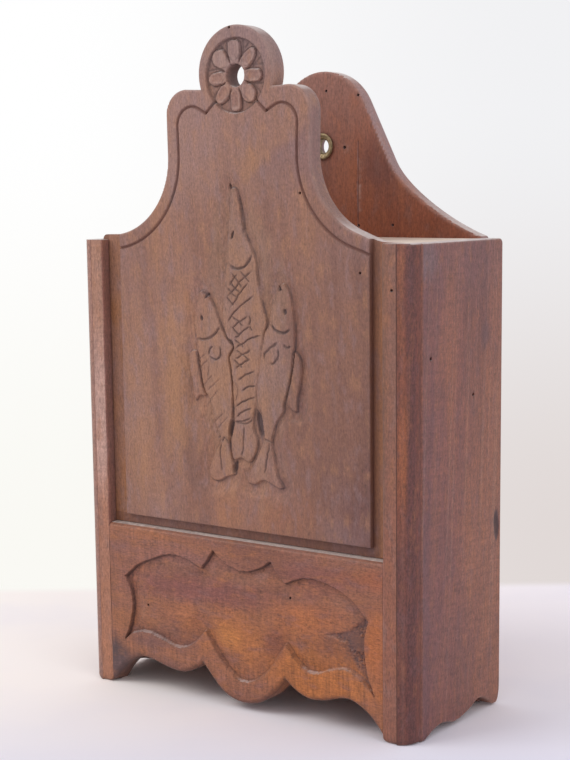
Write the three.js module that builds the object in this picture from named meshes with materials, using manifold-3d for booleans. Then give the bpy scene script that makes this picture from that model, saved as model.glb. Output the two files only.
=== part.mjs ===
// Wall flour box in fruitwood, after the boxes that hung by the hearth: a carved front panel that
// slides up in grooves, two fixed front strips over an apron, and a tall shaped back board with a
// brass hanging eyelet. Millimetres. X runs to the right, Y to the back and Z up. The origin is on
// the floor, under the middle of the box. A depth is measured from the front faces of the strips.
import * as THREE from 'three';
import { mergeVertices } from 'three/addons/utils/BufferGeometryUtils.js';
import Module from 'manifold-3d';

const wasm = await Module();
wasm.setup();

// Carcass
const WIDTH = 230;
const DEPTH = 96.5;
const SIDE_HEIGHT = 267;
const SIDE_THICK = 9;
const BACK_THICK = 9.5;
const FLOOR_THICK = 9;
const TOP_THICK = 9;
const FLOOR_LEVEL = 26;
const HOUSING_DEPTH = 3;
const BACK_BOTTOM = 1;

// Clearances: a sliding or housed fit, and how far a cutting solid runs past what it cuts
const FIT = 0.3;
const CUT = 2;

// Moulded front corner of the side boards
const CORNER_DEPTH = 10;
const QUIRK_STEP = 0.8;
const QUIRK_FLAT = 1.2;
const TOP_CORNER_RADIUS = 3;

// Shaped lower edge of the side boards
const FRONT_FOOT = 14;
const REAR_FOOT = 8;
const SIDE_ARCH_RISE = 5;
const SIDE_LOBE_RISE = 2.2;
const SIDE_CUSP_RISE = 6;
const REAR_ARCH_RISE = 7.6;
const HEEL_WIDTH = 4;
const HEEL_RISE = 12;

// Front strips and the grooves behind them
const STRIP_WIDTH = 7.4;
const STRIP_DEPTH = 7.2;
const TONGUE_THICK = 7.5;
const TONGUE_CLEAR = 1;
const GUIDE_WIDTH = 8.5;
const GUIDE_DEPTH = 9;

// Apron
const APRON_TOP = 98.9;
const APRON_CENTRE = 2;
const APRON_ARCH_RISE = 19.4;
const APRON_CUSP_HALF = 29.6;
const APRON_CUSP_RISE = 23;
const APRON_LOBE_RISE = 4.3;
const LOBE_SHOULDER = 21;
const LOBE_SHOULDER_RISE = 14;
const LOBE_FLAT = 15;
const CARTOUCHE_DEPTH = 1.6;

// Sliding panel
const FIELD_RISE = 3.5;
const SIDE_MARGIN = 18;
const BOTTOM_MARGIN = 5.5;
const END_RISE = 3;
const END_RADIUS = 3;
const RIGHT_END_DROP = 3;
const RIGHT_END_REACH = 27;
const WAIST_HALF = 49;
const SWEEP_RADIUS = 44;
const SHOULDER_HALF = 49.5;
const SHOULDER_RADIUS = 14;
const SHOULDER_RISE = 83.5;
const NECK_HALF = 24.3;
const FINIAL_RADIUS = 25.6;
const FINIAL_RISE = 7.5;
const NECK_LIFT = 0.7;

// Line cut along the panel's shaped edge
const LINE_INSET = 8.2;
const LINE_DROP = 9.5;
const LINE_RADIUS = 10.3;
const LINE_WIDTH = 1.5;
const LINE_DEPTH = 1;
const LINE_CUSP_HALF = 20.8;
const LINE_CUSP_DROP = 13.5;
const LINE_MEETS_ROSETTE = 0.72;

// Rosette in the finial
const ROSETTE_RADIUS = 19.8;
const ROSETTE_DROP = 1.4;
const ROSETTE_DEPTH = 1.8;
const PETAL_START = 6;
const PETAL_HEIGHT = 1.6;
const PETAL_SPREAD = 0.36;
const GRIP_BORE_RADIUS = 6.2;
const GRIP_FLARE = 0.6;

// Three fish, heads up, standing in a shallow sunk ground. Their heights, and the heights of all that
// is cut into them, are measured from a base line a little under their tails.
const FISH_BASE_RISE = 28.8;
const GROUND_DEPTH = 1.5;
const GROUND_SLOPE = 2.5;
const FISH_CROWN = 1;
const FISH_ROUNDING = 1.2;
const GILL_WIDTH = 1;
const GILL_DEPTH = 0.8;
const EYE_RADIUS = 1.2;
const STROKE_WIDTH = 1.3;
const STROKE_DEPTH = 0.8;
const SCALE_ROWS = 15;
const SCALE_PITCH = 5.3;
const SCALE_TOP = 116;
const SCALE_STEEPEST = 46;
const SCALE_FLATTEST = 24;
const SCALE_REACH_TOP = 11;
const SCALE_REACH_LOW = 6;
const CROSSED_ROWS = 8;
const CROSS_SHARE = 0.75;
const PIKE_AXIS = 2.2;
const PIKE_BEND = 1.6;

// Back board
const CREST_RISE = 95.5;
const CREST_RADIUS = 32;
const CREST_ANGLE = 26;
const BACK_SWEEP_START = 46;
const BACK_SWEEP_RISE = 43;
const BACK_END_RISE = 0.8;
const HANG_HOLE_DROP = 43;

// Brass eyelet
const EYELET_FLANGE_RADIUS = 7.6;
const EYELET_FLANGE_THICK = 1.1;
const EYELET_BORE_RADIUS = 4.1;
const EYELET_WALL = 0.8;
const EYELET_GRIP = 4.7;
const EYELET_CLINCH_RADIUS = 6.6;
const EYELET_CLINCH_THICK = 0.8;
const COUNTERBORE_RADIUS = 7.6;

// Nails through the back board, and brads through the guides
const NAIL_RADIUS = 0.9;
const NAIL_LENGTH = 22;
const NAIL_HEAD_RADIUS = 2.1;
const NAIL_HEAD_THICK = 1;
const NAIL_PLACES = [-72, 0, 72];
const NAIL_SIDES = 12;
const BRAD_RADIUS = 0.7;
const BRAD_LENGTH = 13;
const BRAD_HEAD_RADIUS = 1.3;
const BRAD_HEAD_THICK = 0.8;
const BRAD_END = 25;

// Places that follow from the sizes above
const OUTER = WIDTH / 2;
const INNER = OUTER - SIDE_THICK;
const STRIP_EDGE = INNER - STRIP_WIDTH;
const TONGUE_FACE = STRIP_DEPTH + FIT;
const TONGUE_BACK = TONGUE_FACE + TONGUE_THICK;
const FIELD_FACE = TONGUE_FACE - FIELD_RISE;
const GUIDE_FACE = TONGUE_BACK + FIT;
const BACK_FACE = DEPTH - BACK_THICK;
const FLOOR_TOP = FLOOR_LEVEL + FLOOR_THICK;
const TOP_UNDERSIDE = SIDE_HEIGHT - TOP_THICK;
const PANEL_HALF = INNER - TONGUE_CLEAR;
const FIELD_HALF = PANEL_HALF - SIDE_MARGIN;
const PANEL_BOTTOM = APRON_TOP + FIT;
const FISH_BASE = PANEL_BOTTOM + FISH_BASE_RISE;
const PANEL_END = SIDE_HEIGHT + END_RISE;
const SHOULDER_TOP = SIDE_HEIGHT + SHOULDER_RISE;
const FINIAL_CENTRE = SHOULDER_TOP + FINIAL_RISE;
const ROSETTE_CENTRE = FINIAL_CENTRE - ROSETTE_DROP;
const ROSETTE_FACE = FIELD_FACE + ROSETTE_DEPTH;
const CREST_TOP = SIDE_HEIGHT + CREST_RISE;
const HANG_HOLE = CREST_TOP - HANG_HOLE_DROP;
const FLOOR_NAIL = FLOOR_LEVEL + FLOOR_THICK / 2;
const TOP_NAIL = SIDE_HEIGHT - TOP_THICK / 2;
const GUIDE_EDGE = INNER - GUIDE_WIDTH;
const BRAD_DEPTH = GUIDE_FACE + GUIDE_DEPTH / 2;
const BRAD_LOW = FLOOR_TOP + BRAD_END;
const BRAD_HIGH = TOP_UNDERSIDE - BRAD_END;
const BRAD_PLACES = [BRAD_LOW, (BRAD_LOW + BRAD_HIGH) / 2, BRAD_HIGH];

const QUARTER = Math.PI / 2;
const AXES = {
  back: new THREE.Matrix4().makeBasis(
    new THREE.Vector3(1, 0, 0),
    new THREE.Vector3(0, 0, 1),
    new THREE.Vector3(0, -1, 0),
  ),
  right: new THREE.Matrix4().makeBasis(
    new THREE.Vector3(0, 1, 0),
    new THREE.Vector3(0, 0, 1),
    new THREE.Vector3(1, 0, 0),
  ),
};

// Depth behind the front faces, as a Y coordinate
function at(depth) {
  return depth - DEPTH / 2;
}

// A three.js geometry as a solid that can be joined and cut
function solid(geometry) {
  const bare = geometry.index ? geometry.toNonIndexed() : geometry.clone();
  bare.deleteAttribute('normal');
  bare.deleteAttribute('uv');
  const merged = mergeVertices(bare, 1e-4);
  return new wasm.Manifold(new wasm.Mesh({
    numProp: 3,
    vertProperties: new Float32Array(merged.attributes.position.array),
    triVerts: new Uint32Array(merged.index.array),
  }));
}

function geometryOf(body) {
  const mesh = body.getMesh();
  const geometry = new THREE.BufferGeometry();
  geometry.setAttribute('position', new THREE.BufferAttribute(mesh.vertProperties, 3));
  geometry.setIndex(new THREE.BufferAttribute(mesh.triVerts, 1));
  geometry.computeVertexNormals();
  return geometry;
}

function extruded(shape, length, curveSegments) {
  return new THREE.ExtrudeGeometry(shape, { depth: length, bevelEnabled: false, curveSegments });
}

// A flat outline in X and Z, given thickness from one depth to another
function plate(shape, from, to, curveSegments = 6) {
  const geometry = extruded(shape, to - from, curveSegments);
  return solid(geometry.applyMatrix4(AXES.back).translate(0, at(to), 0));
}

// A plan in X and Y, raised from one height to another
function column(shape, from, to, curveSegments = 6) {
  return solid(extruded(shape, to - from, curveSegments).translate(0, 0, from));
}

// A profile in Y and Z, run across from one X to another
function bar(shape, from, to, curveSegments = 6) {
  const geometry = extruded(shape, to - from, curveSegments);
  return solid(geometry.applyMatrix4(AXES.right).translate(from, 0, 0));
}

function block(x0, x1, depth0, depth1, z0, z1) {
  const geometry = new THREE.BoxGeometry(x1 - x0, depth1 - depth0, z1 - z0);
  return solid(geometry.translate((x0 + x1) / 2, at((depth0 + depth1) / 2), (z0 + z1) / 2));
}

// A round hole or peg along Y or along X, tapered where the two radii differ
function pegAlongY(x, z, from, to, radiusFrom, radiusTo = radiusFrom, sides = 24) {
  const geometry = new THREE.CylinderGeometry(radiusTo, radiusFrom, to - from, sides);
  return solid(geometry.translate(x, at((from + to) / 2), z));
}

function pegAlongX(depth, z, x0, x1, radius) {
  const geometry = new THREE.CylinderGeometry(radius, radius, x1 - x0, NAIL_SIDES);
  return solid(geometry.rotateZ(QUARTER).translate((x0 + x1) / 2, at(depth), z));
}

// The same body on the other side of the box
function mirrored(body) {
  const geometry = geometryOf(body).scale(-1, 1, 1);
  const index = geometry.index.array;
  for (let i = 0; i < index.length; i += 3) {
    [index[i], index[i + 1]] = [index[i + 1], index[i]];
  }
  return solid(geometry);
}

function joined(bodies) {
  return bodies.reduce((whole, body) => whole.add(body));
}

// A closed outline from its right half, which runs from the top middle to the bottom middle
function symmetric(half, centre = 0) {
  const right = half.filter((p, i) => i === 0 || p.distanceTo(half[i - 1]) > 1e-4);
  const left = right.filter((p) => p.x > 1e-6).map((p) => new THREE.Vector2(-p.x, p.y)).reverse();
  return new THREE.Shape([...right, ...left].map((p) => new THREE.Vector2(p.x + centre, p.y)));
}

// A band of even width along a line of points
function ribbon(points, width) {
  const sides = [[], []];
  points.forEach((p, i) => {
    const before = points[Math.max(i - 1, 0)];
    const after = points[Math.min(i + 1, points.length - 1)];
    const along = new THREE.Vector2().subVectors(after, before).normalize();
    const across = new THREE.Vector2(-along.y, along.x).multiplyScalar(width / 2);
    sides[0].push(p.clone().add(across));
    sides[1].unshift(p.clone().sub(across));
  });
  return new THREE.Shape([...sides[0], ...sides[1]]);
}

function vectors(list) {
  return list.map(([x, y]) => new THREE.Vector2(x, y));
}

// Side boards
function sidePlan() {
  const moulded = OUTER - QUIRK_STEP;
  const plan = new THREE.Shape();
  plan.moveTo(INNER, at(DEPTH + CUT));
  plan.lineTo(INNER, at(0));
  plan.absellipse(INNER, at(CORNER_DEPTH), moulded - INNER, CORNER_DEPTH, -QUARTER, 0, false);
  plan.lineTo(moulded, at(CORNER_DEPTH + QUIRK_FLAT));
  plan.lineTo(OUTER, at(CORNER_DEPTH + QUIRK_FLAT + QUIRK_STEP / 2));
  plan.lineTo(OUTER, at(DEPTH + CUT));
  return plan;
}

// Two low arches between the feet, with a lobe and a cusp between them
function sideProfile() {
  const start = FRONT_FOOT;
  const span = DEPTH - REAR_FOOT - start;
  const along = (share) => at(start + share * span);
  const profile = new THREE.Shape();
  profile.moveTo(at(-CUT), 0);
  profile.lineTo(at(start), 0);
  profile.splineThru(vectors([
    [along(0.11), SIDE_ARCH_RISE * 0.64],
    [along(0.23), SIDE_ARCH_RISE],
    [along(0.33), SIDE_ARCH_RISE * 0.82],
    [along(0.42), SIDE_LOBE_RISE],
  ]));
  profile.splineThru(vectors([
    [along(0.51), SIDE_LOBE_RISE * 1.2],
    [along(0.6), SIDE_CUSP_RISE * 0.68],
    [along(0.69), SIDE_CUSP_RISE],
  ]));
  profile.splineThru(vectors([
    [along(0.76), REAR_ARCH_RISE * 0.94],
    [along(0.83), REAR_ARCH_RISE],
    [along(0.91), REAR_ARCH_RISE * 0.7],
    [at(DEPTH - REAR_FOOT), 0],
  ]));
  profile.lineTo(at(DEPTH - HEEL_WIDTH), 0);
  profile.absellipse(at(DEPTH - HEEL_WIDTH), HEEL_RISE, HEEL_WIDTH, HEEL_RISE, -QUARTER, 0, false);
  profile.lineTo(at(DEPTH), SIDE_HEIGHT - TOP_CORNER_RADIUS);
  profile.absarc(
    at(DEPTH - TOP_CORNER_RADIUS), SIDE_HEIGHT - TOP_CORNER_RADIUS, TOP_CORNER_RADIUS,
    0, QUARTER, false,
  );
  profile.lineTo(at(-CUT), SIDE_HEIGHT);
  return profile;
}

function sideBoard() {
  const blank = column(sidePlan(), -CUT, SIDE_HEIGHT + CUT, 8);
  const shaped = blank.intersect(bar(sideProfile(), INNER - CUT, OUTER + CUT, 3));
  const housing = block(
    INNER - CUT, INNER + HOUSING_DEPTH + FIT,
    GUIDE_FACE - FIT, BACK_FACE + FIT,
    FLOOR_LEVEL - FIT, FLOOR_TOP + FIT,
  );
  const reach = GUIDE_EDGE + BRAD_LENGTH + FIT;
  return BRAD_PLACES.reduce((board, z) => {
    const hole = pegAlongX(BRAD_DEPTH, z, INNER - CUT, reach, BRAD_RADIUS + FIT);
    return board.subtract(hole);
  }, shaped.subtract(housing));
}

// Front strips, glued to the inner faces of the side boards
function frontStrip() {
  return block(STRIP_EDGE, INNER, 0, STRIP_DEPTH, 0, SIDE_HEIGHT);
}

// Strips behind the panel that close its grooves
function guideStrip() {
  const strip = block(
    GUIDE_EDGE, INNER,
    GUIDE_FACE, GUIDE_FACE + GUIDE_DEPTH,
    FLOOR_TOP + FIT, TOP_UNDERSIDE - FIT,
  );
  const seatEnd = GUIDE_EDGE + BRAD_HEAD_THICK + FIT;
  return BRAD_PLACES.reduce((body, z) => {
    const hole = pegAlongX(BRAD_DEPTH, z, GUIDE_EDGE - CUT, INNER + CUT, BRAD_RADIUS + FIT);
    const seat = pegAlongX(BRAD_DEPTH, z, GUIDE_EDGE - CUT, seatEnd, BRAD_HEAD_RADIUS + FIT);
    return body.subtract(hole).subtract(seat);
  }, strip);
}

function guideBrad(z) {
  const headBack = GUIDE_EDGE + BRAD_HEAD_THICK;
  const middle = GUIDE_EDGE + BRAD_HEAD_THICK / 2;
  const shank = pegAlongX(BRAD_DEPTH, z, middle, GUIDE_EDGE + BRAD_LENGTH, BRAD_RADIUS);
  return shank.add(pegAlongX(BRAD_DEPTH, z, GUIDE_EDGE, headBack, BRAD_HEAD_RADIUS));
}

// Floor and top boards, nailed through the back board
function cutNailHoles(body, z) {
  const shank = NAIL_RADIUS + FIT;
  const head = NAIL_HEAD_RADIUS + FIT;
  const tip = DEPTH - NAIL_LENGTH - FIT;
  const seatFloor = DEPTH - NAIL_HEAD_THICK - FIT;
  return NAIL_PLACES.reduce((rest, x) => {
    const hole = pegAlongY(x, z, tip, DEPTH + CUT, shank, shank, NAIL_SIDES);
    const seat = pegAlongY(x, z, seatFloor, DEPTH + CUT, head, head, NAIL_SIDES);
    return rest.subtract(hole).subtract(seat);
  }, body);
}

function floorBoard() {
  const reach = INNER + HOUSING_DEPTH;
  return cutNailHoles(
    block(-reach, reach, GUIDE_FACE, BACK_FACE, FLOOR_LEVEL, FLOOR_TOP),
    FLOOR_NAIL,
  );
}

function topBoard() {
  return cutNailHoles(
    block(-INNER, INNER, GUIDE_FACE, BACK_FACE, TOP_UNDERSIDE, SIDE_HEIGHT),
    TOP_NAIL,
  );
}

function backNail(x, z) {
  const tip = DEPTH - NAIL_LENGTH;
  const headFace = DEPTH - NAIL_HEAD_THICK;
  const middle = DEPTH - NAIL_HEAD_THICK / 2;
  const shank = pegAlongY(x, z, tip, middle, NAIL_RADIUS / 2, NAIL_RADIUS, NAIL_SIDES);
  const head = pegAlongY(x, z, headFace, DEPTH, NAIL_HEAD_RADIUS, NAIL_HEAD_RADIUS, NAIL_SIDES);
  return shank.add(head);
}

// Back board: a round crest that falls in a straight slope and sweeps out to the sides
function backBoard() {
  const angle = THREE.MathUtils.degToRad(CREST_ANGLE);
  const crestCentre = CREST_TOP - CREST_RADIUS;
  const endHeight = SIDE_HEIGHT + BACK_END_RISE;
  const sweepHeight = SIDE_HEIGHT + BACK_SWEEP_RISE;
  const sweepWidth = INNER - BACK_SWEEP_START;
  const half = new THREE.Path();
  half.moveTo(0, CREST_TOP);
  half.absarc(0, crestCentre, CREST_RADIUS, QUARTER, angle, true);
  half.lineTo(BACK_SWEEP_START, sweepHeight);
  half.bezierCurveTo(
    BACK_SWEEP_START + sweepWidth * 0.12, sweepHeight - BACK_SWEEP_RISE * 0.33,
    INNER - sweepWidth * 0.4, endHeight + BACK_SWEEP_RISE * 0.19,
    INNER, endHeight,
  );
  half.lineTo(INNER, BACK_BOTTOM);
  const board = plate(symmetric(half.getPoints(12)), BACK_FACE, DEPTH);
  const barrel = EYELET_BORE_RADIUS + EYELET_WALL + FIT;
  const shoulder = BACK_FACE + EYELET_GRIP;
  const drilled = board
    .subtract(pegAlongY(0, HANG_HOLE, BACK_FACE - CUT, shoulder + CUT, barrel))
    .subtract(pegAlongY(0, HANG_HOLE, shoulder, DEPTH + CUT, COUNTERBORE_RADIUS));
  return cutNailHoles(cutNailHoles(drilled, FLOOR_NAIL), TOP_NAIL);
}

// Eyelet: a rolled flange in front, a short barrel, and an end clinched over in the counterbore.
// The profile gives the distance from the axis and the depth behind the back board's front face.
function hangingEyelet() {
  const bore = EYELET_BORE_RADIUS;
  const outer = bore + EYELET_WALL;
  const rim = EYELET_FLANGE_RADIUS;
  const proud = -FIT - EYELET_FLANGE_THICK;
  const clinch = EYELET_GRIP + FIT;
  const profile = vectors([
    [bore, EYELET_FLANGE_THICK * 0.4],
    [bore + 0.5, -FIT - 0.35],
    [(bore + rim) / 2, -FIT - 0.55],
    [rim - 0.9, proud],
    [rim - 0.3, proud + 0.2],
    [rim, -FIT - 0.4],
    [rim - 0.2, -FIT],
    [outer, -FIT],
    [outer, clinch],
    [EYELET_CLINCH_RADIUS, clinch],
    [EYELET_CLINCH_RADIUS, clinch + EYELET_CLINCH_THICK],
    [bore + 0.3, clinch + EYELET_CLINCH_THICK],
    [bore, clinch],
    [bore, EYELET_FLANGE_THICK * 0.4],
  ]);
  return solid(new THREE.LatheGeometry(profile, 32).translate(0, at(BACK_FACE), HANG_HOLE));
}

// Apron: a board with a scalloped lower edge and a sunk cartouche, tongued behind the strips
function scallop(side) {
  const reach = STRIP_EDGE - side * APRON_CENTRE;
  const half = [
    [reach, 0],
    [reach - 6, APRON_ARCH_RISE * 0.42],
    [reach - 13, APRON_ARCH_RISE * 0.74],
    [reach - 25, APRON_ARCH_RISE],
    [54, APRON_ARCH_RISE * 0.79],
    [45, APRON_ARCH_RISE * 0.77],
    [36.5, APRON_ARCH_RISE * 0.93],
    [APRON_CUSP_HALF, APRON_CUSP_RISE],
  ];
  return half.map(([x, z]) => new THREE.Vector2(APRON_CENTRE + side * x, z));
}

function apronOutline() {
  const reach = INNER - FIT;
  const left = scallop(-1);
  const right = scallop(1).reverse();
  const outline = new THREE.Shape();
  outline.moveTo(-reach, 0);
  outline.lineTo(-STRIP_EDGE, 0);
  outline.splineThru(left.slice(1));
  outline.bezierCurveTo(
    APRON_CENTRE - LOBE_SHOULDER, LOBE_SHOULDER_RISE,
    APRON_CENTRE - LOBE_FLAT, APRON_LOBE_RISE,
    APRON_CENTRE, APRON_LOBE_RISE,
  );
  outline.bezierCurveTo(
    APRON_CENTRE + LOBE_FLAT, APRON_LOBE_RISE,
    APRON_CENTRE + LOBE_SHOULDER, LOBE_SHOULDER_RISE,
    right[0].x, right[0].y,
  );
  outline.splineThru(right.slice(1));
  outline.lineTo(reach, 0);
  outline.lineTo(reach, APRON_TOP);
  outline.lineTo(-reach, APRON_TOP);
  return outline;
}

// Arcs of the cartouche from corner to corner, from its upper left tip round to the right, with
// heights above the feet
const CARTOUCHE = [
  [[-85.7, 67.6], [-76.5, 75], [-66.5, 79.8], [-51.2, 84.9], [-38.5, 83.8], [-27.3, 79.6]],
  [[-27.3, 79.6], [-23, 85], [-18.6, 91.2]],
  [[-18.6, 91.2], [-10.5, 85.2], [2.6, 81.7], [14.6, 85], [22.6, 90]],
  [[22.6, 90], [26.4, 84.4], [32, 78.6]],
  [[32, 78.6], [45.6, 83.5], [56.4, 83.2], [69, 79.6], [78.5, 74.2], [87.6, 65.4]],
  [[87.6, 65.4], [85.3, 57], [84.9, 50.3], [86.4, 38], [91.4, 24.4]],
  [[91.4, 24.4], [82.1, 31.9], [72.4, 35.9], [61.8, 33.4], [53.9, 30.3], [47, 30.6], [39, 35.8],
    [32.5, 43.5]],
  [[32.5, 43.5], [26.5, 35], [19.5, 25.6], [11.4, 19.3], [1.3, 16.8], [-7.7, 21.6], [-16.8, 31.3],
    [-25, 42.6]],
  [[-25, 42.6], [-35.6, 32.6], [-46.3, 29.6], [-59.2, 32.9], [-70.1, 35.2], [-81.3, 32.6],
    [-87, 28.4]],
  [[-87, 28.4], [-82.6, 38.7], [-80.4, 49.5], [-81.4, 58.9], [-85.7, 67.6]],
];

function cartouche() {
  const outline = new THREE.Path();
  outline.moveTo(...CARTOUCHE[0][0]);
  CARTOUCHE.forEach((arc) => outline.splineThru(vectors(arc.slice(1))));
  return new THREE.Shape(outline.getPoints(2).slice(0, -1));
}

function apronBoard() {
  const board = plate(apronOutline(), 0, TONGUE_BACK, 3);
  const rebates = [-1, 1].map((side) => {
    const ends = [side * STRIP_EDGE, side * (INNER + CUT)].sort((a, b) => a - b);
    return block(ends[0], ends[1], -CUT, TONGUE_FACE, -CUT, APRON_TOP + CUT);
  });
  return board
    .subtract(rebates[0])
    .subtract(rebates[1])
    .subtract(plate(cartouche(), -CUT, CARTOUCHE_DEPTH));
}

// Sliding panel: right half of its outline, from the top of the finial down
function panelOutline() {
  const half = new THREE.Path();
  const sweepX = WAIST_HALF + SWEEP_RADIUS;
  const sweepZ = PANEL_END + SWEEP_RADIUS;
  const shoulderX = SHOULDER_HALF - SHOULDER_RADIUS;
  half.moveTo(0, FINIAL_CENTRE + FINIAL_RADIUS);
  half.absarc(0, FINIAL_CENTRE, FINIAL_RADIUS, QUARTER, -Math.acos(NECK_HALF / FINIAL_RADIUS), true);
  half.quadraticCurveTo(
    (NECK_HALF + shoulderX) / 2, SHOULDER_TOP + NECK_LIFT,
    shoulderX, SHOULDER_TOP,
  );
  half.absarc(shoulderX, SHOULDER_TOP - SHOULDER_RADIUS, SHOULDER_RADIUS, QUARTER, 0, true);
  half.lineTo(WAIST_HALF, sweepZ);
  half.absarc(sweepX, sweepZ, SWEEP_RADIUS, Math.PI, 3 * QUARTER, false);
  half.lineTo(PANEL_HALF - END_RADIUS, PANEL_END);
  half.absarc(PANEL_HALF - END_RADIUS, PANEL_END - END_RADIUS, END_RADIUS, QUARTER, 0, true);
  half.lineTo(PANEL_HALF, PANEL_BOTTOM);
  const outline = symmetric(half.getPoints(8)).getPoints();
  return new THREE.Shape(outline.map((point) => new THREE.Vector2(point.x, point.y - endDrop(point))));
}

// The right end of the sweep runs down to the height of the strips
function endDrop({ x, y }) {
  const start = PANEL_HALF - RIGHT_END_REACH;
  const share = THREE.MathUtils.smoothstep(x, start, STRIP_EDGE);
  return y > SIDE_HEIGHT - END_RADIUS - CUT ? share * RIGHT_END_DROP : 0;
}

// Cut line on the right: from the field's edge, round the sweep and shoulder, to the rosette
function borderLine() {
  const sweepX = WAIST_HALF + SWEEP_RADIUS;
  const sweepZ = PANEL_END + SWEEP_RADIUS;
  const radius = SWEEP_RADIUS + LINE_INSET;
  const shoulderX = SHOULDER_HALF - LINE_INSET - LINE_RADIUS;
  const shoulderZ = SHOULDER_TOP - LINE_DROP - LINE_RADIUS;
  const outer = new THREE.Path();
  const startAngle = -Math.acos((FIELD_HALF - sweepX) / radius);
  outer.absarc(sweepX, sweepZ, radius, startAngle, -Math.PI, true);
  outer.absarc(shoulderX, shoulderZ, LINE_RADIUS, 0, 2, false);
  outer.lineTo(LINE_CUSP_HALF, SHOULDER_TOP - LINE_CUSP_DROP);
  const meet = LINE_MEETS_ROSETTE * ROSETTE_RADIUS;
  const inner = vectors([
    [LINE_CUSP_HALF + 0.4, SHOULDER_TOP - LINE_CUSP_DROP - 0.4],
    [meet, ROSETTE_CENTRE - Math.sqrt(ROSETTE_RADIUS ** 2 - meet ** 2) + 0.4],
  ]);
  const lines = [outer.getPoints(10), inner];
  return lines.map((line) => plate(ribbon(line, LINE_WIDTH), FIELD_FACE - CUT, FIELD_FACE + LINE_DEPTH));
}

// Petals: each has its turn from upright in degrees, its half width, how far it ends from the ring,
// how long its tip is and how deep its hollow is
const PETALS = [
  [-3, 4.2, 0.9, 2.2, 0.3],
  [44, 3.9, 0.8, 7, 0.6],
  [92, 3.7, 1.9, 3.2, 0.75],
  [138, 4.6, 1.5, 4.6, 0.15],
  [180.5, 3.9, 0.5, 2.6, 0.6],
  [221, 4, 0.8, 6.2, 0.7],
  [264, 3.7, 1.6, 3.6, 0.75],
  [311, 5.5, 0.7, 5.2, 0.1],
];

// One petal, first pointing up: it widens from its start, and its tip is rounded
function petal([turn, halfWidth, ringGap, tip, hollowDepth]) {
  const end = ROSETTE_RADIUS - ringGap;
  const shoulder = end - tip;
  const widthAt = (radius) => Math.min(halfWidth, PETAL_SPREAD * (radius + 1));
  const side = [PETAL_START, PETAL_START + 2.5, PETAL_START + 5]
    .filter((radius) => radius < shoulder - 1)
    .map((radius) => [widthAt(radius), radius]);
  for (let step = 0; step <= 5; step += 1) {
    const angle = (step / 5) * QUARTER;
    side.push([widthAt(end) * Math.cos(angle), shoulder + tip * Math.sin(angle)]);
  }
  const left = side.slice(0, -1).map(([x, radius]) => [-x, radius]).reverse();
  const face = ROSETTE_FACE - PETAL_HEIGHT;
  const shape = new THREE.Shape(vectors([...side.slice(0, -1), [0, end], ...left]));
  const body = extruded(shape, PETAL_HEIGHT + CUT / 4, 1).applyMatrix4(AXES.back);
  body.translate(0, at(ROSETTE_FACE + CUT / 4), 0);
  const hollow = new THREE.SphereGeometry(1, 10, 8);
  hollow.scale(halfWidth * 0.62, hollowDepth, (end - PETAL_START) * 0.32);
  hollow.translate(0, at(face), PETAL_START + (end - PETAL_START) * 0.56);
  const place = (geometry) => solid(
    geometry.rotateY(THREE.MathUtils.degToRad(turn)).translate(0, 0, ROSETTE_CENTRE),
  );
  return place(body).subtract(place(hollow));
}

function carveRosette(panel) {
  const dish = pegAlongY(
    0, ROSETTE_CENTRE, FIELD_FACE - CUT, ROSETTE_FACE, ROSETTE_RADIUS, ROSETTE_RADIUS, 48,
  );
  const petals = PETALS.map(petal);
  const bore = pegAlongY(
    0, ROSETTE_CENTRE, FIELD_FACE - CUT, TONGUE_BACK + CUT, GRIP_BORE_RADIUS,
  );
  const flare = pegAlongY(
    0, ROSETTE_CENTRE, FIELD_FACE - FIT, ROSETTE_FACE + GRIP_FLARE,
    GRIP_BORE_RADIUS + GRIP_FLARE, GRIP_BORE_RADIUS,
  );
  return joined([panel.subtract(dish), ...petals]).subtract(bore).subtract(flare);
}

// Outlines of the three fish, as smooth closed curves through a few points
const PIKE = [
  [-3.2, 169], [0.4, 164], [4.4, 145.5], [8.5, 138], [12.2, 130], [14.2, 114], [17.6, 101],
  [18.2, 86], [15, 75], [13, 62], [11.6, 52], [9.6, 41], [10.6, 32], [11, 25], [6.3, 16],
  [0.2, 18.4], [-5, 16.5], [-6.8, 26], [-4.4, 38], [-5.4, 52], [-6.8, 69], [-6.2, 81],
  [-12.2, 96], [-10.6, 112], [-8.6, 129], [-6.6, 148], [-5.6, 163],
];
const LEFT_FISH = [
  [-25.6, 111.8], [-29.6, 110], [-31.8, 100], [-32.2, 86], [-33.8, 75], [-35, 68], [-32.4, 49],
  [-25.2, 52], [-21.4, 44], [-17.4, 34], [-14.6, 27.5], [-17.6, 21], [-23.2, 8],
  [-19.6, 3.8], [-10.4, 6.2], [-6.4, 9.5], [-8, 18], [-8.6, 27], [-7.2, 37], [-6.4, 52],
  [-7.8, 69], [-7.4, 80], [-12.8, 91], [-17.2, 102],
];
const RIGHT_FISH = [
  [30.6, 116.8], [26.4, 113.4], [22.4, 104], [21, 95], [18.6, 85], [15.6, 75], [13.8, 62],
  [13, 52], [15.4, 44], [16.2, 32.5], [11, 21], [4.2, 6], [9.8, 3.8], [15.2, 6.6],
  [22, 4.6], [28.6, 3.8], [25.8, 9.5], [23.6, 19], [21.8, 29], [24.8, 39], [30.2, 46.5],
  [38.8, 49], [40.8, 62], [41.6, 72], [38.6, 81], [38.4, 96], [36.6, 107],
];
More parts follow.
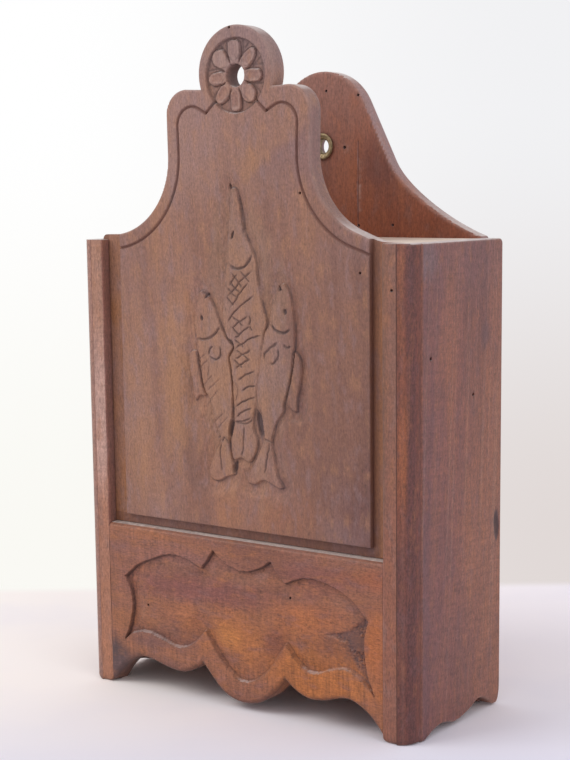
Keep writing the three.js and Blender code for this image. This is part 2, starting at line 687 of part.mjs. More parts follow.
const GROUND = [
  [-3.6, 174], [3, 170], [9, 148], [16.5, 134], [19.5, 117], [25, 115], [31, 121], [38, 117],
  [42.5, 98], [46, 72], [44.5, 50], [32, 40], [27, 29], [32.5, 0], [18, -1], [-4, 1],
  [-26, -0.5], [-27.5, 9], [-21, 24], [-29, 44], [-37, 48], [-40, 70], [-36.5, 87],
  [-35, 108], [-28, 116], [-20, 113], [-15, 117], [-12.5, 134], [-10, 157],
];
const EYES = [[-3.5, 142.5], [-26.6, 95.8], [31.9, 101.3]];
const GILLS = [
  [[-7.4, 127], [-3.2, 124.2], [1.2, 124], [6, 126.6], [10, 131.6]],
  [[-30.6, 84], [-23.6, 84.2], [-17.4, 87], [-13.4, 91.8]],
  [[22, 94.4], [25.4, 91], [31, 89.6], [36, 92]],
];
// Straight strokes at the roots of the back fins, in the tails, round the breast fins and across
// the left fish, each from one end to the other
const FIN_STROKES = [
  [-31.2, 78, -27, 52],
  [38, 79, 31, 49],
  [-14.8, 26, -14, 8],
  [2.6, 36, 1.4, 18.5],
  [19.6, 30, 16, 9],
  [-22.4, 74, -17.6, 80],
  [-18.2, 73.4, -13.4, 78.6],
  [17.6, 76.4, 26, 83.6],
  [20, 73, 26.8, 79.4],
  [-28, 62, -20, 69],
  [-26, 56, -15, 65],
  [-24, 50, -12, 59],
  [-20, 42, -9.6, 51],
];

function closedOutline(points, steps) {
  const placed = points.map(([x, rise]) => new THREE.Vector3(x, FISH_BASE + rise, 0));
  const curve = new THREE.CatmullRomCurve3(placed, true);
  return new THREE.Shape(curve.getPoints(steps).slice(0, -1).map((p) => new THREE.Vector2(p.x, p.y)));
}

// The sunk ground slopes down from the field's face all round its edge
function sunkGround() {
  const geometry = new THREE.ExtrudeGeometry(closedOutline(GROUND, 56), {
    depth: CUT,
    bevelThickness: GROUND_DEPTH,
    bevelSize: GROUND_SLOPE,
    bevelOffset: -GROUND_SLOPE,
    bevelSegments: 2,
    curveSegments: 1,
  });
  return solid(geometry.applyMatrix4(AXES.back).translate(0, at(FIELD_FACE), 0));
}

// A fish rises from the sunk ground to the field's face, and its edges are rounded over
function fishBody(points) {
  const root = CUT / 4;
  const depth = GROUND_DEPTH - FISH_CROWN + root;
  const geometry = new THREE.ExtrudeGeometry(closedOutline(points, 54), {
    depth,
    bevelThickness: FISH_CROWN,
    bevelSize: FISH_ROUNDING,
    bevelOffset: -FISH_ROUNDING,
    bevelSegments: 2,
    curveSegments: 1,
  });
  geometry.applyMatrix4(AXES.back).translate(0, at(FIELD_FACE + FISH_CROWN + depth), 0);
  const kept = block(
    -PANEL_HALF, PANEL_HALF,
    FIELD_FACE - CUT, FIELD_FACE + GROUND_DEPTH + root,
    PANEL_BOTTOM, FINIAL_CENTRE,
  );
  return solid(geometry).intersect(kept);
}

// One stroke of the gouge: deepest at its middle and running out at both ends
function stroke([x0, rise0, x1, rise1]) {
  const geometry = new THREE.OctahedronGeometry(1);
  geometry.scale(Math.hypot(x1 - x0, rise1 - rise0) / 2, STROKE_DEPTH, STROKE_WIDTH / 2);
  geometry.rotateY(-Math.atan2(rise1 - rise0, x1 - x0));
  geometry.translate((x0 + x1) / 2, at(FIELD_FACE), FISH_BASE + (rise0 + rise1) / 2);
  return solid(geometry);
}

// Scales of the pike: strokes that rise to the right, crossed over the upper part of the body
function scaleStrokes() {
  const strokes = [];
  for (let row = 0; row < SCALE_ROWS; row += 1) {
    const share = row / (SCALE_ROWS - 1);
    const rise = SCALE_TOP - row * SCALE_PITCH;
    const x = PIKE_AXIS + PIKE_BEND * Math.sin(Math.PI * share);
    const slant = THREE.MathUtils.degToRad(
      THREE.MathUtils.lerp(SCALE_STEEPEST, SCALE_FLATTEST, share),
    );
    const reach = THREE.MathUtils.lerp(SCALE_REACH_TOP, SCALE_REACH_LOW, share);
    const dx = reach * Math.cos(slant);
    const dz = reach * Math.sin(slant);
    strokes.push([x - dx, rise - dz, x + dx, rise + dz]);
    if (row < CROSSED_ROWS) {
      strokes.push([
        x - dx * CROSS_SHARE, rise + dz * CROSS_SHARE,
        x + dx * CROSS_SHARE, rise - dz * CROSS_SHARE,
      ]);
    }
  }
  return strokes;
}

function carveFish(panel) {
  const fish = [PIKE, LEFT_FISH, RIGHT_FISH].map(fishBody);
  const gills = GILLS.map((line) => {
    const curve = new THREE.SplineCurve(line.map(([x, rise]) => new THREE.Vector2(x, FISH_BASE + rise)));
    return plate(ribbon(curve.getPoints(8), GILL_WIDTH), FIELD_FACE - CUT, FIELD_FACE + GILL_DEPTH);
  });
  const eyes = EYES.map(([x, rise]) => pegAlongY(
    x, FISH_BASE + rise,
    FIELD_FACE - CUT, FIELD_FACE + GILL_DEPTH,
    EYE_RADIUS, EYE_RADIUS, 10,
  ));
  const strokes = [...scaleStrokes(), ...FIN_STROKES].map(stroke);
  const carved = joined([panel.subtract(sunkGround()), ...fish]);
  return [...gills, ...eyes, ...strokes].reduce((rest, cut) => rest.subtract(cut), carved);
}

function slidingPanel() {
  const field = block(
    -FIELD_HALF, FIELD_HALF,
    FIELD_FACE - CUT, TONGUE_FACE,
    PANEL_BOTTOM + BOTTOM_MARGIN, FINIAL_CENTRE + FINIAL_RADIUS + CUT,
  );
  const tongue = block(
    -PANEL_HALF - CUT, PANEL_HALF + CUT,
    TONGUE_FACE, TONGUE_BACK + CUT,
    PANEL_BOTTOM - CUT, FINIAL_CENTRE + FINIAL_RADIUS + CUT,
  );
  const blank = plate(panelOutline(), FIELD_FACE, TONGUE_BACK).intersect(field.add(tongue));
  const rightLines = borderLine();
  const lines = [...rightLines, ...rightLines.map(mirrored)];
  const lined = lines.reduce((rest, line) => rest.subtract(line), blank);
  return carveFish(carveRosette(lined));
}

// Finishes
function wood(name, color, roughness) {
  return new THREE.MeshStandardMaterial({ name, color, roughness, metalness: 0 });
}

function metal(name, color, roughness) {
  return new THREE.MeshStandardMaterial({ name, color, roughness, metalness: 1 });
}

const panelWood = wood('panel_wood', 0x8c6453, 0.6);
const apronWood = wood('apron_wood', 0x9a6244, 0.5);
const sideWood = wood('side_wood', 0x7d5754, 0.55);
const stripWood = wood('strip_wood', 0x85594b, 0.5);
const insideWood = wood('inside_wood', 0x78452f, 0.65);
const brass = metal('brass', 0xa8894e, 0.35);
const iron = metal('iron', 0x4a433e, 0.7);

const box = new THREE.Group();
box.name = 'flour_box';

function add(name, body, material) {
  const mesh = new THREE.Mesh(geometryOf(body), material);
  mesh.name = name;
  box.add(mesh);
}

const rightSide = sideBoard();
const rightStrip = frontStrip();
const rightGuide = guideStrip();
add('side_board_right', rightSide, sideWood);
add('side_board_left', mirrored(rightSide), sideWood);
add('back_board', backBoard(), insideWood);
add('floor_board', floorBoard(), insideWood);
add('top_board', topBoard(), insideWood);
add('front_strip_right', rightStrip, stripWood);
add('front_strip_left', mirrored(rightStrip), stripWood);
add('apron_board', apronBoard(), apronWood);
add('guide_strip_right', rightGuide, insideWood);
add('guide_strip_left', mirrored(rightGuide), insideWood);
add('sliding_panel', slidingPanel(), panelWood);
add('hanging_eyelet', hangingEyelet(), brass);
NAIL_PLACES.forEach((x, i) => {
  add(`floor_nail_${i + 1}`, backNail(x, FLOOR_NAIL), iron);
  add(`top_nail_${i + 1}`, backNail(x, TOP_NAIL), iron);
});
BRAD_PLACES.forEach((z, i) => {
  const brad = guideBrad(z);
  add(`guide_brad_right_${i + 1}`, brad, iron);
  add(`guide_brad_left_${i + 1}`, mirrored(brad), iron);
});

export default box;
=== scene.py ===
import functools
import math

import bmesh
import bpy
import numpy as np
from mathutils import Matrix, Vector, geometry


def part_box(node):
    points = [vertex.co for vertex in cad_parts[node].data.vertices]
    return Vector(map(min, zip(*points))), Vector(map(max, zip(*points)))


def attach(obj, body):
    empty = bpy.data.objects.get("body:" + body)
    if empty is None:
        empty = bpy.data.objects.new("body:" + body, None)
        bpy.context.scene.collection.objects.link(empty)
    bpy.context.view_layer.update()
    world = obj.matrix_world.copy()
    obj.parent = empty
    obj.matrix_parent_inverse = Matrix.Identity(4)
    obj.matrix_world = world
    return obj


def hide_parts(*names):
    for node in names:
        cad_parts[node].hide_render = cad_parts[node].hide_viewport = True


# The looks of a carved wall flour box: boards with their carving, wear and wood, a brass eyelet,
# nails, light and camera. The box is sized in millimetres, which become metres where a mesh or a
# mask is made; the stage, the lamps and the camera are placed in metres. X runs to the right and Z
# up; a depth runs back from the front faces of the two front strips.

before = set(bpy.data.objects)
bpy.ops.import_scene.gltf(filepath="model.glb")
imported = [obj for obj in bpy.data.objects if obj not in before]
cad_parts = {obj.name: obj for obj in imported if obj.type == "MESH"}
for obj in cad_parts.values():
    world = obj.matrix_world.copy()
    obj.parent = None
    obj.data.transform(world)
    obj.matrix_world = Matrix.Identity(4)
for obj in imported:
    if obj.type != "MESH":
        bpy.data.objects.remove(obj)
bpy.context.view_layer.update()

MM = 0.001


# Places taken from the frame

def extent(node):
    """Lowest and highest x, depth and z of a node."""
    lo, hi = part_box(node)
    return lo.x / MM, hi.x / MM, lo.y / MM - FRONT, hi.y / MM - FRONT, lo.z / MM, hi.z / MM


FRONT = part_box("front_strip_right")[0].y / MM
STRIP_EDGE, INNER, _, STRIP_DEPTH, _, SIDE_HEIGHT = extent("front_strip_right")
_, OUTER, _, DEPTH, _, _ = extent("side_board_right")
_, PANEL_HALF, FIELD_FACE, TONGUE_BACK, PANEL_BOTTOM, PANEL_TOP = extent("sliding_panel")
_, APRON_HALF, _, _, _, APRON_TOP = extent("apron_board")
_, _, BACK_FACE, _, BACK_BOTTOM, CREST_TOP = extent("back_board")
GUIDE_EDGE, _, GUIDE_FACE, GUIDE_BACK, GUIDE_LOW, GUIDE_HIGH = extent("guide_strip_right")
_, FLOOR_HALF, _, FLOOR_BACK, FLOOR_LEVEL, FLOOR_TOP = extent("floor_board")
_, _, _, _, TOP_UNDERSIDE, _ = extent("top_board")

# Shape of the boards
FIELD_RISE = 3.5
TONGUE_FACE = FIELD_FACE + FIELD_RISE
FIELD_HALF = PANEL_HALF - 18
FIELD_BOTTOM = PANEL_BOTTOM + 5.5
FINIAL_RADIUS = 25.6
FINIAL_CENTRE = PANEL_TOP - FINIAL_RADIUS
SHOULDER_TOP = FINIAL_CENTRE - 7.5
PANEL_END = SIDE_HEIGHT + 3
END_RADIUS = 3
LEFT_END_GAP = 2.5
LOW_END_REACH = 27
NECK_HALF = 24.3
SHOULDER_HALF = 49.5
SHOULDER_RADIUS = 14
WAIST_HALF = 49
SWEEP_RADIUS = 44
CREST_RADIUS = 32
CORNER_DEPTH = 10
QUIRK_STEP = 0.8
QUIRK_FLAT = 1.2
APRON_CENTRE = 2
LOBE_BOTTOM = 4.3
FOOT_RADIUS = 4
STRIP_PLAY = 0.06

# How far the edge of each front strip stands past that of the frame's strip: right, then left
LIP = {1: 1.5, -1: 0.7}

# Cut line round the panel's head
LINE_INSET = 8.2
LINE_RADIUS = 10.3
LINE_DROP = 9.5
LINE_CUSP = (20.8, SHOULDER_TOP - 13.5)
LINE_TURN = 116
CUSP_ANGLE = -44
LINE_HALF_WIDTH = 0.95
LINE_DEPTH = 1.1

# Rosette: each petal has its turn from upright in degrees, its half width, where it ends, how long
# its tip is and how hollow it is
ROSETTE_CENTRE = FINIAL_CENTRE - 1.4
ROSETTE_RADIUS = 19.8
ROSETTE_DEPTH = 1.6
GRIP_BORE = 6.2
GRIP_FLARE = 0.8
PETAL_START = 6.0
PETALS = [
    (-3, 4.2, 18.9, 2.2, 0.3), (44, 3.9, 19.0, 7.0, 0.6), (92, 3.7, 17.9, 3.2, 0.75),
    (138, 4.6, 18.3, 4.6, 0.15), (180.5, 3.9, 19.3, 2.6, 0.6), (221, 4.0, 19.0, 6.2, 0.7),
    (264, 3.7, 18.2, 3.6, 0.75), (311, 5.5, 19.1, 5.2, 0.1),
]

# Fish, as points (x, height above the base line) of closed outlines, and the area they lie in
FISH_BASE = PANEL_BOTTOM + 28.8
FISH_HALF = 52
FISH_LOW = -8
FISH_HIGH = 186
PIKE = [
    (-4.6, 168), (-1.6, 168.4), (0.3, 166), (4.4, 145.5), (8.8, 137), (12.2, 130), (13.7, 116.6),
    (17.2, 103), (19.4, 95.5), (17.2, 88), (15, 76), (13, 62), (11.8, 52), (9.2, 41),
    (9.4, 35), (12, 27.5), (6.3, 15.8), (0.1, 17.6), (-5.3, 16.4), (-7.2, 27), (-4.6, 38),
    (-5.2, 52), (-6.6, 69), (-7.6, 75), (-4.4, 80.5), (-8.6, 85), (-11.9, 96.4), (-11, 106.5),
    (-9.7, 117.6), (-8.5, 129.8), (-7.6, 139.7), (-6.1, 153.5), (-5.3, 163),
]
LEFT_FISH = [
    (-25, 111.5), (-28.9, 110), (-31, 100), (-32.2, 91), (-30.8, 84), (-30.4, 77), (-28.5, 64.3),
    (-26, 54.5), (-22.2, 50), (-20.2, 42.4), (-17.4, 34), (-14.6, 28), (-17.7, 21.5),
    (-23.5, 7.6), (-20.5, 3.6), (-15.8, 3.3), (-10.2, 6.1), (-4.4, 8.5), (-6.1, 16.4),
    (-8.4, 27), (-6.4, 36.8), (-5.5, 47.3), (-5.2, 59.5), (-6.9, 69.2), (-7.7, 74), (-4.2, 79.6),
    (-5.4, 83.4), (-8.9, 85), (-14.5, 96), (-17.6, 103), (-20.6, 107.5),
]
RIGHT_FISH = [
    (30.8, 117), (27.2, 114.4), (23.6, 107.5), (21.4, 100), (20.6, 94), (17.4, 89.7),
    (16.4, 85), (14.6, 78.8), (13.2, 66.7), (11.6, 59), (11.6, 53.3), (14.2, 45), (15.7, 35.5),
    (16.2, 31), (10.6, 19), (4, 5.2), (9.8, 3.4), (15.2, 6.4), (22, 4.3), (26.6, 2.8),
    (29.4, 3.8), (25.8, 9.2), (23.7, 19.1), (21.8, 29), (23.2, 34), (25, 39.4), (30, 46.2),
    (30.4, 51), (31.8, 54.4), (34, 62), (36.2, 69.2), (37.5, 77), (38.3, 87), (38, 96.2),
    (36.7, 106.4), (34.4, 113.4),
]
LEFT_FIN = [(-30.4, 77), (-35.2, 76.5), (-36.8, 72), (-34.4, 59), (-32.3, 48.4), (-29.2, 51.4),
            (-25, 51.8), (-27, 60)]
RIGHT_FIN = [(37.4, 80), (40.8, 77.6), (42.4, 72.4), (41.4, 62), (39.4, 53.4), (38.8, 46.6),
             (33, 49.4), (31.6, 53), (35, 64)]
# Lines cut into the fish
GILLS = [
    [(-7.2, 126.6), (-3.2, 124.4), (1.1, 124.1), (6, 126.5), (10.2, 132.2)],
    [(-30.6, 84), (-23.3, 84.1), (-17.5, 86.9), (-13.3, 92)],
    [(21.7, 94.6), (25.3, 91.2), (31.2, 89.8), (35.6, 92)],
]
BREAST_FINS = [
    [(-22, 75.2), (-20.6, 79), (-18.6, 80.6)],
    [(-22, 75.2), (-18.6, 73), (-14.6, 73.4), (-13.2, 77), (-14.2, 81)],
    [(27.2, 84.6), (20.6, 80.2), (17.4, 77), (18.2, 74)],
    [(20.2, 72.6), (23.4, 72.4), (26.6, 76), (27.2, 81.4)],
    [(30.6, 83.4), (33, 81.6), (35.6, 82.6)],
]
TAIL_STROKES = [
    [(-14.2, 26.4), (-14.4, 17), (-13.4, 8.4)],
    [(2.6, 37.4), (2.2, 27), (0.4, 17.6)],
    [(20.2, 29), (18.6, 20), (16.4, 10)],
    [(-17.8, 27), (-15.6, 28.8), (-13.4, 26.6), (-11.6, 28.6), (-8.8, 26)],
    [(-3.8, 38.4), (1, 37.6), (6, 38.6), (9.4, 41)],
    [(16.6, 30.2), (19.8, 29.2), (22, 28)],
    [(-31, 78), (-28.9, 64), (-26.2, 54)],
    [(37.4, 79), (35.4, 66), (31.6, 50)],
]
MOUTHS = [
    [(0.2, 165.6), (3, 155), (4.2, 144), (4.4, 141.4)],
    [(-26.4, 111), (-23, 109.4), (-21, 107.4)],
    [(28.2, 115), (29.6, 112.6)],
]
BODY_CUTS = [
    [(-29.6, 72), (-24, 75.6)], [(-28.6, 67.4), (-22.4, 72.4)], [(-26.2, 57.8), (-19.4, 64)],
    [(-23.4, 54.6), (-13.8, 62.4)], [(-24.6, 46.8), (-15, 55.6)], [(-20, 36), (-11.4, 43)],
    [(-17.6, 32.6), (-8.8, 40.6)], [(-23, 62), (-21.6, 70)], [(-4, 60.8), (-1.4, 57), (-3.6, 49)],
]
# Ovals cut into the fish and between them: place, half width, half length and lean in degrees
EYES = [(-3.5, 142.5, 0.75, 2.3, -20), (-26.6, 95.8, 0.95, 1.5, 10), (31.9, 101.3, 1.05, 1.5, 10)]
SNOUT_CUTS = [(-22.9, 108.4, 0.7, 1.7, -35), (28.0, 113.8, 0.6, 1.5, 25), (-5.4, 169.0, 0.6, 1.6, 8)]
GAPS = [(13.0, 38.4, 2.7, 10.5, 12), (-6.8, 34, 2.0, 7, -8), (-4.4, 12.6, 1.9, 5, -14)]
EYE_DEPTH = 1.1
GAP_DEPTH = 3.0
SCALES = [
    [(-0.6, 121.3), (-3.3, 118.5), (-6.4, 114.2)],
    [(9.8, 122.9), (3.1, 118.6), (-1.4, 113.9), (-8.3, 107.7)],
    [(7.2, 116.5), (1.5, 111.2), (-0.9, 107.9), (-5.6, 102.2)],
    [(11.6, 109.7), (2.8, 104.8), (-4.9, 97.6), (-8.6, 92.8)],
    [(6.5, 98), (-0.3, 94.1), (-4.8, 90.9)],
    [(7.8, 92.3), (3.1, 89.6), (-3.7, 84.9)],
    [(15.8, 87.3), (10.6, 86.7), (3.6, 83.4), (-3, 79.3)],
    [(8.7, 79.5), (1.7, 76.1), (-3.1, 73.3)],
    [(7.5, 74.1), (1, 70.9), (-3.2, 67.9)],
    [(10.8, 67.8), (3.2, 64.7), (-1.6, 61.4)],
    [(11.3, 59.4), (7.2, 58.9), (1, 55.7)],
    [(11.1, 53.1), (4.1, 51), (-4.2, 46.2)],
    [(8.4, 46.9), (0.4, 43.5), (-3.2, 40.4)],
    [(8, 41.5), (1.5, 38.9), (-4.4, 38.2)],
    [(1.7, 122.9), (4.8, 119.6), (8, 116.4)], [(-5, 121.9), (-1.6, 118.5), (3, 113.1)],
    [(-6.3, 117.2), (-3.4, 113.9), (1.2, 110.5)], [(-7.9, 113.3), (-4.7, 110.6), (-0.9, 107.9)],
    [(-8.6, 108.2), (-3.4, 103.2)], [(-4.9, 97.4), (0.3, 94.6), (3.1, 92.1)],
    [(7.8, 98.6), (8, 95.8), (7, 92.8)], [(7.5, 92.3), (9.6, 89.8)],
    [(-5.1, 91.6), (0.1, 86.9)], [(-3.4, 84.7), (3.5, 80.4)],
    [(-2.7, 78.7), (1.7, 76.5), (7.7, 73.6)], [(-3.7, 73), (2.1, 68.9)],
]
# Each kind of cut with its half width and depth
CUTS = [(GILLS, 0.72, 1.0), (BREAST_FINS, 0.6, 0.8), (TAIL_STROKES, 0.5, 0.7), (MOUTHS, 0.6, 1.0),
        (BODY_CUTS, 0.42, 0.4), (SCALES, 0.5, 0.8)]
# The ground scooped round the fish, and the share of its depth at which the fins lie
GROUND_DEPTH = 1.9
GROUND_REACH = 9.5
FIN_LEVEL = 0.6
FAR = 99.0

# Cartouche in the apron, as arcs between its corners, from the upper left tip round to the right
CARTOUCHE = [
    [(-85.7, 67.6), (-76.5, 75), (-66.5, 79.8), (-51.2, 84.9), (-38.5, 83.8), (-27.3, 79.6)],
    [(-27.3, 79.6), (-23, 85), (-18.6, 91.2)],
    [(-18.6, 91.2), (-10.5, 85.2), (2.6, 81.7), (14.6, 85), (22.6, 90)],
    [(22.6, 90), (26.4, 84.4), (32, 78.6)],
    [(32, 78.6), (45.6, 83.5), (56.4, 83.2), (69, 79.6), (78.5, 74.2), (87.6, 65.4)],
    [(87.6, 65.4), (85.3, 57), (84.9, 50.3), (86.4, 38), (91.4, 24.4)],
    [(91.4, 24.4), (82.1, 31.9), (72.4, 35.9), (61.8, 33.4), (53.9, 30.3), (47, 30.6), (39, 35.8),
     (32.5, 43.5)],
    [(32.5, 43.5), (26.5, 35), (19.5, 25.6), (11.4, 19.3), (1.3, 16.8), (-7.7, 21.6),
     (-16.8, 31.3), (-25, 42.6)],
    [(-25, 42.6), (-35.6, 32.6), (-46.3, 29.6), (-59.2, 32.9), (-70.1, 35.2), (-81.3, 32.6),
     (-87, 28.4)],
    [(-87, 28.4), (-82.6, 38.7), (-80.4, 49.5), (-81.4, 58.9), (-85.7, 67.6)],
]
CARTOUCHE_DEPTH = 2.3
CARTOUCHE_REACH = 12
ROUGH_CORNER = [(59.5, 54), (75, 58.5), (80, 62.7), (86, 68.5), (89, 66), (86.5, 54), (85.5, 43),
                (90, 26), (86, 30), (82, 35), (77.5, 41), (73, 51)]

# Stains of the apron: place, half width, half height, strength and tone
APRON_STAINS = [
    (-30, 66, 84, 13, 0.75, (134, 78, 72)), (-46, 84, 64, 9, 0.6, (144, 96, 88)),
    (60, 86, 60, 9, 0.6, (140, 84, 74)), (4, 40, 60, 24, 0.85, (188, 114, 58)),
    (50, 62, 40, 13, 0.6, (188, 110, 62)), (52, 26, 62, 32, 0.9, (182, 108, 50)),
    (44, 56, 38, 14, 0.6, (178, 106, 58)), (92, 48, 14, 32, 0.8, (188, 108, 52)),
    (-40, 50, 30, 12, 0.6, (182, 112, 70)), (-68, 44, 24, 12, 0.6, (166, 106, 72)),
    (-8, 29, 16, 8, 0.5, (140, 88, 66)), (-7, 42, 14, 9, 0.8, (196, 124, 62)),
    (24, 43, 13, 12, 0.8, (138, 80, 58)), (50, 78, 22, 9, 0.5, (138, 78, 66)),
    (92, 88, 12, 9, 0.5, (176, 98, 62)), (-68, 30, 20, 11, 0.45, (112, 80, 80)),
    (-88, 40, 12, 12, 0.7, (168, 106, 66)), (84, 88, 30, 7, 0.5, (164, 96, 58)),
    (-62, 18, 34, 9, 0.5, (106, 72, 66)), (-94, 16, 22, 19, 0.95, (88, 64, 66)),
]

# Wormholes, by piece, with the widest one of the back, a scratch on it and a chip in the side
PANEL_HOLES = [(81.1, 251.4), (42.9, 293.1), (-3.3, 382.3)]
APRON_HOLES = [(-68.2, 52.2), (35.5, 70.8)]
STRIP_HOLES = [(103.1, 243.1)]
SIDE_HOLES = [(19.6, 206.6), (64.3, 183)]
PEG_HOLE = (15.4, 318.5)
BACK_HOLES = [(2.7, 351.2), (25, 348), PEG_HOLE, (25, 273.6), (25, 271.2), (48.4, 274)]
HOLE_RADIUS = 0.75
HOLE_DEPTH = 2.2
SCRATCH = [(25.0, 322), (24.6, 290), (24.4, 268)]
CHIP = (91.4, 106)

# Brass eyelet, and nails, whose heads stand a little above the wood
HEAD_SHOWS = 0.18
HANG_HOLE = CREST_TOP - 43
EYELET_BORE = 4.1
EYELET_WALL = 0.8
EYELET_RIM = 7.6
EYELET_GRIP = 4.7
NAIL_PLACES = (-72, 0, 72)
BRAD_MARGIN = 25
FLOOR_NAIL = (FLOOR_LEVEL + FLOOR_TOP) / 2
TOP_NAIL = (TOP_UNDERSIDE + SIDE_HEIGHT) / 2


# Curves

def smooth(points, closed=False, steps=6):
    """A smooth curve through the points."""
    p = np.array(points, float)
    count = len(p)
    if closed:
        p = np.vstack([p[-1], p, p[0], p[1]])
    else:
        p = np.vstack([2 * p[0] - p[1], p, 2 * p[-1] - p[-2]])
        count -= 1
    out = []
    share = np.linspace(0, 1, steps, endpoint=False)[:, None]
    for i in range(count):
        a, b, c, d = p[i:i + 4]
        ta, tb, tc = (max(np.linalg.norm(v), 1e-6) ** 0.5 for v in (b - a, c - b, d - c))
        m0 = ((b - a) / ta - (c - a) / (ta + tb) + (c - b) / tb) * tb
        m1 = ((c - b) / tb - (d - b) / (tb + tc) + (d - c) / tc) * tb
        s2, s3 = share ** 2, share ** 3
        out.append((2 * s3 - 3 * s2 + 1) * b + (s3 - 2 * s2 + share) * m0
                   + (3 * s2 - 2 * s3) * c + (s3 - s2) * m1)
    if not closed:
        out.append(p[-2][None])
    return np.vstack(out)


def bezier(a, b, c, d, steps=14):
    t = np.linspace(0, 1, steps)[:, None]
    a, b, c, d = (np.array(v, float) for v in (a, b, c, d))
    return a * (1 - t) ** 3 + 3 * b * t * (1 - t) ** 2 + 3 * c * t ** 2 * (1 - t) + d * t ** 3


def arc(cx, cz, radius, start, end, steps=18):
    """Points of an arc; the angles are in degrees."""
    angle = np.radians(np.linspace(start, end, steps))
    return np.stack([cx + radius * np.cos(angle), cz + radius * np.sin(angle)], 1)


def symmetric(half):
    """A closed outline from its right half, given from the top middle to the bottom."""
    half = np.array(half, float)
    left = half[half[:, 0] > 1e-6] * (-1, 1)
    return np.vstack([half, left[::-1]])


def raised(points):
    """Fish points as (x, z)."""
    return np.array(points, float) + (0, FISH_BASE)


# Fields over points

def signed_distance(u, v, loops):
    """Distance of each point from the nearest loop, positive inside."""
    pu = np.asarray(u, np.float32).ravel()
    pv = np.asarray(v, np.float32).ravel()
    best = np.full(len(pu), np.inf, np.float32)
    inside = np.zeros(len(pu), bool)
    for loop in loops:
        a = np.asarray(loop, np.float32)
        b = np.roll(a, -1, 0)
        ab = b - a
        length = np.maximum((ab ** 2).sum(1), 1e-9)
        rise = np.where(np.abs(ab[:, 1]) < 1e-9, 1e-9, ab[:, 1])
        for i in range(0, len(pu), 8192):
            qu, qv = pu[i:i + 8192, None], pv[i:i + 8192, None]
            au, av = qu - a[:, 0], qv - a[:, 1]
            t = np.clip((au * ab[:, 0] + av * ab[:, 1]) / length, 0, 1)
            gap = (au - t * ab[:, 0]) ** 2 + (av - t * ab[:, 1]) ** 2
            best[i:i + 8192] = np.minimum(best[i:i + 8192], gap.min(1))
            crosses = (a[:, 1] > qv) != (b[:, 1] > qv)
            left = qu < a[:, 0] + av * ab[:, 0] / rise
            inside[i:i + 8192] ^= (crosses & left).sum(1) % 2 == 1
    return (np.where(inside, 1, -1) * np.sqrt(best)).reshape(np.shape(u))


def along_line(u, v, line, reach):
    """Distance from an open line, and the share of the way along it, for points within reach."""
    line = np.asarray(line, float)
    near = ((u > line[:, 0].min() - reach) & (u < line[:, 0].max() + reach)
            & (v > line[:, 1].min() - reach) & (v < line[:, 1].max() + reach))
    gap = np.full(np.shape(u), reach * 9.0)
    share = np.zeros(np.shape(u))
    if not near.any():
        return gap, share
    q = np.stack([u[near], v[near]], 1)
    lengths = np.linalg.norm(np.diff(line, axis=0), axis=1)
    start = np.concatenate([[0], np.cumsum(lengths)])
    best = np.full(len(q), np.inf)
    where = np.zeros(len(q))
    for i, length in enumerate(lengths):
        step = line[i + 1] - line[i]
        t = np.clip(((q - line[i]) @ step) / max(length ** 2, 1e-9), 0, 1)
        d = np.linalg.norm(q - line[i] - t[:, None] * step, axis=1)
        closer = d < best
        best[closer] = d[closer]
        where[closer] = (start[i] + t * length)[closer] / start[-1]
    gap[near], share[near] = best, where
    return gap, share


def ease(x, lo, hi):
    """0 below lo, 1 above hi, and smooth between."""
    t = np.clip((x - lo) / (hi - lo), 0, 1)
    return t * t * (3 - 2 * t)


def fall_off(x, lo, hi):
    """1 below lo, 0 above hi, and smooth between."""
    return 1 - ease(x, lo, hi)


def peak(x, width):
    """1 at 0, falling straight to 0 at the width on either side."""
    return np.clip(1 - np.abs(x) / width, 0, 1)


def rounded(d, radius):
    """How far a face falls away at distance d from an edge of that radius."""
    t = np.clip(1 - np.maximum(d, 0) / radius, 0, 1)
    return radius * (1 - np.sqrt(1 - t * t))


def lattice(u, v, pitch, seed):
    """Smooth noise from -1 to 1 with features of that size."""
    pu, pv = (np.broadcast_to(p, np.shape(u)) for p in (pitch if np.ndim(pitch) else (pitch, pitch)))
    rng = np.random.default_rng(seed)
    table = rng.uniform(-1, 1, (256, 256))
    x, y = u / pu + 700.3, v / pv + 900.7
    i, j = np.floor(x).astype(int), np.floor(y).astype(int)
    s, t = ease(x - i, 0, 1), ease(y - j, 0, 1)
    a, b = table[i % 256, j % 256], table[(i + 1) % 256, j % 256]
    c, d = table[i % 256, (j + 1) % 256], table[(i + 1) % 256, (j + 1) % 256]
    return (a * (1 - s) + b * s) * (1 - t) + (c * (1 - s) + d * s) * t


def highest(*fields):
    """The highest of several fields at each point."""
    return functools.reduce(np.maximum, fields)


def haze(x, z, place, spread):
    """1 at a place, falling off smoothly over its spread on each axis."""
    return np.exp(-((x - place[0]) / spread[0]) ** 2 - ((z - place[1]) / spread[1]) ** 2)


def oval(x, z, middle_x, middle_z, half_width, half_length, lean):
    """Distance from the middle of an oval, 1 on its edge. Its lean is in degrees."""
    a = math.radians(lean)
    dx, dz = x - middle_x, z - middle_z
    s = (dx * math.cos(a) + dz * math.sin(a)) / half_width
    t = (-dx * math.sin(a) + dz * math.cos(a)) / half_length
    return np.hypot(s, t)


def pits(u, v, holes, size=1.0):
    """Depth and darkness of wormholes."""
    depth = np.zeros(np.shape(u))
    dark = np.zeros(np.shape(u))
    for hu, hv in holes:
        d = np.hypot(u - hu, v - hv) / size
        depth += HOLE_DEPTH * fall_off(d, HOLE_RADIUS * 0.72, HOLE_RADIUS * 1.05)
        dark += fall_off(d, HOLE_RADIUS * 0.8, HOLE_RADIUS * 1.35)
    return depth, np.clip(dark, 0, 1)


# Meshes

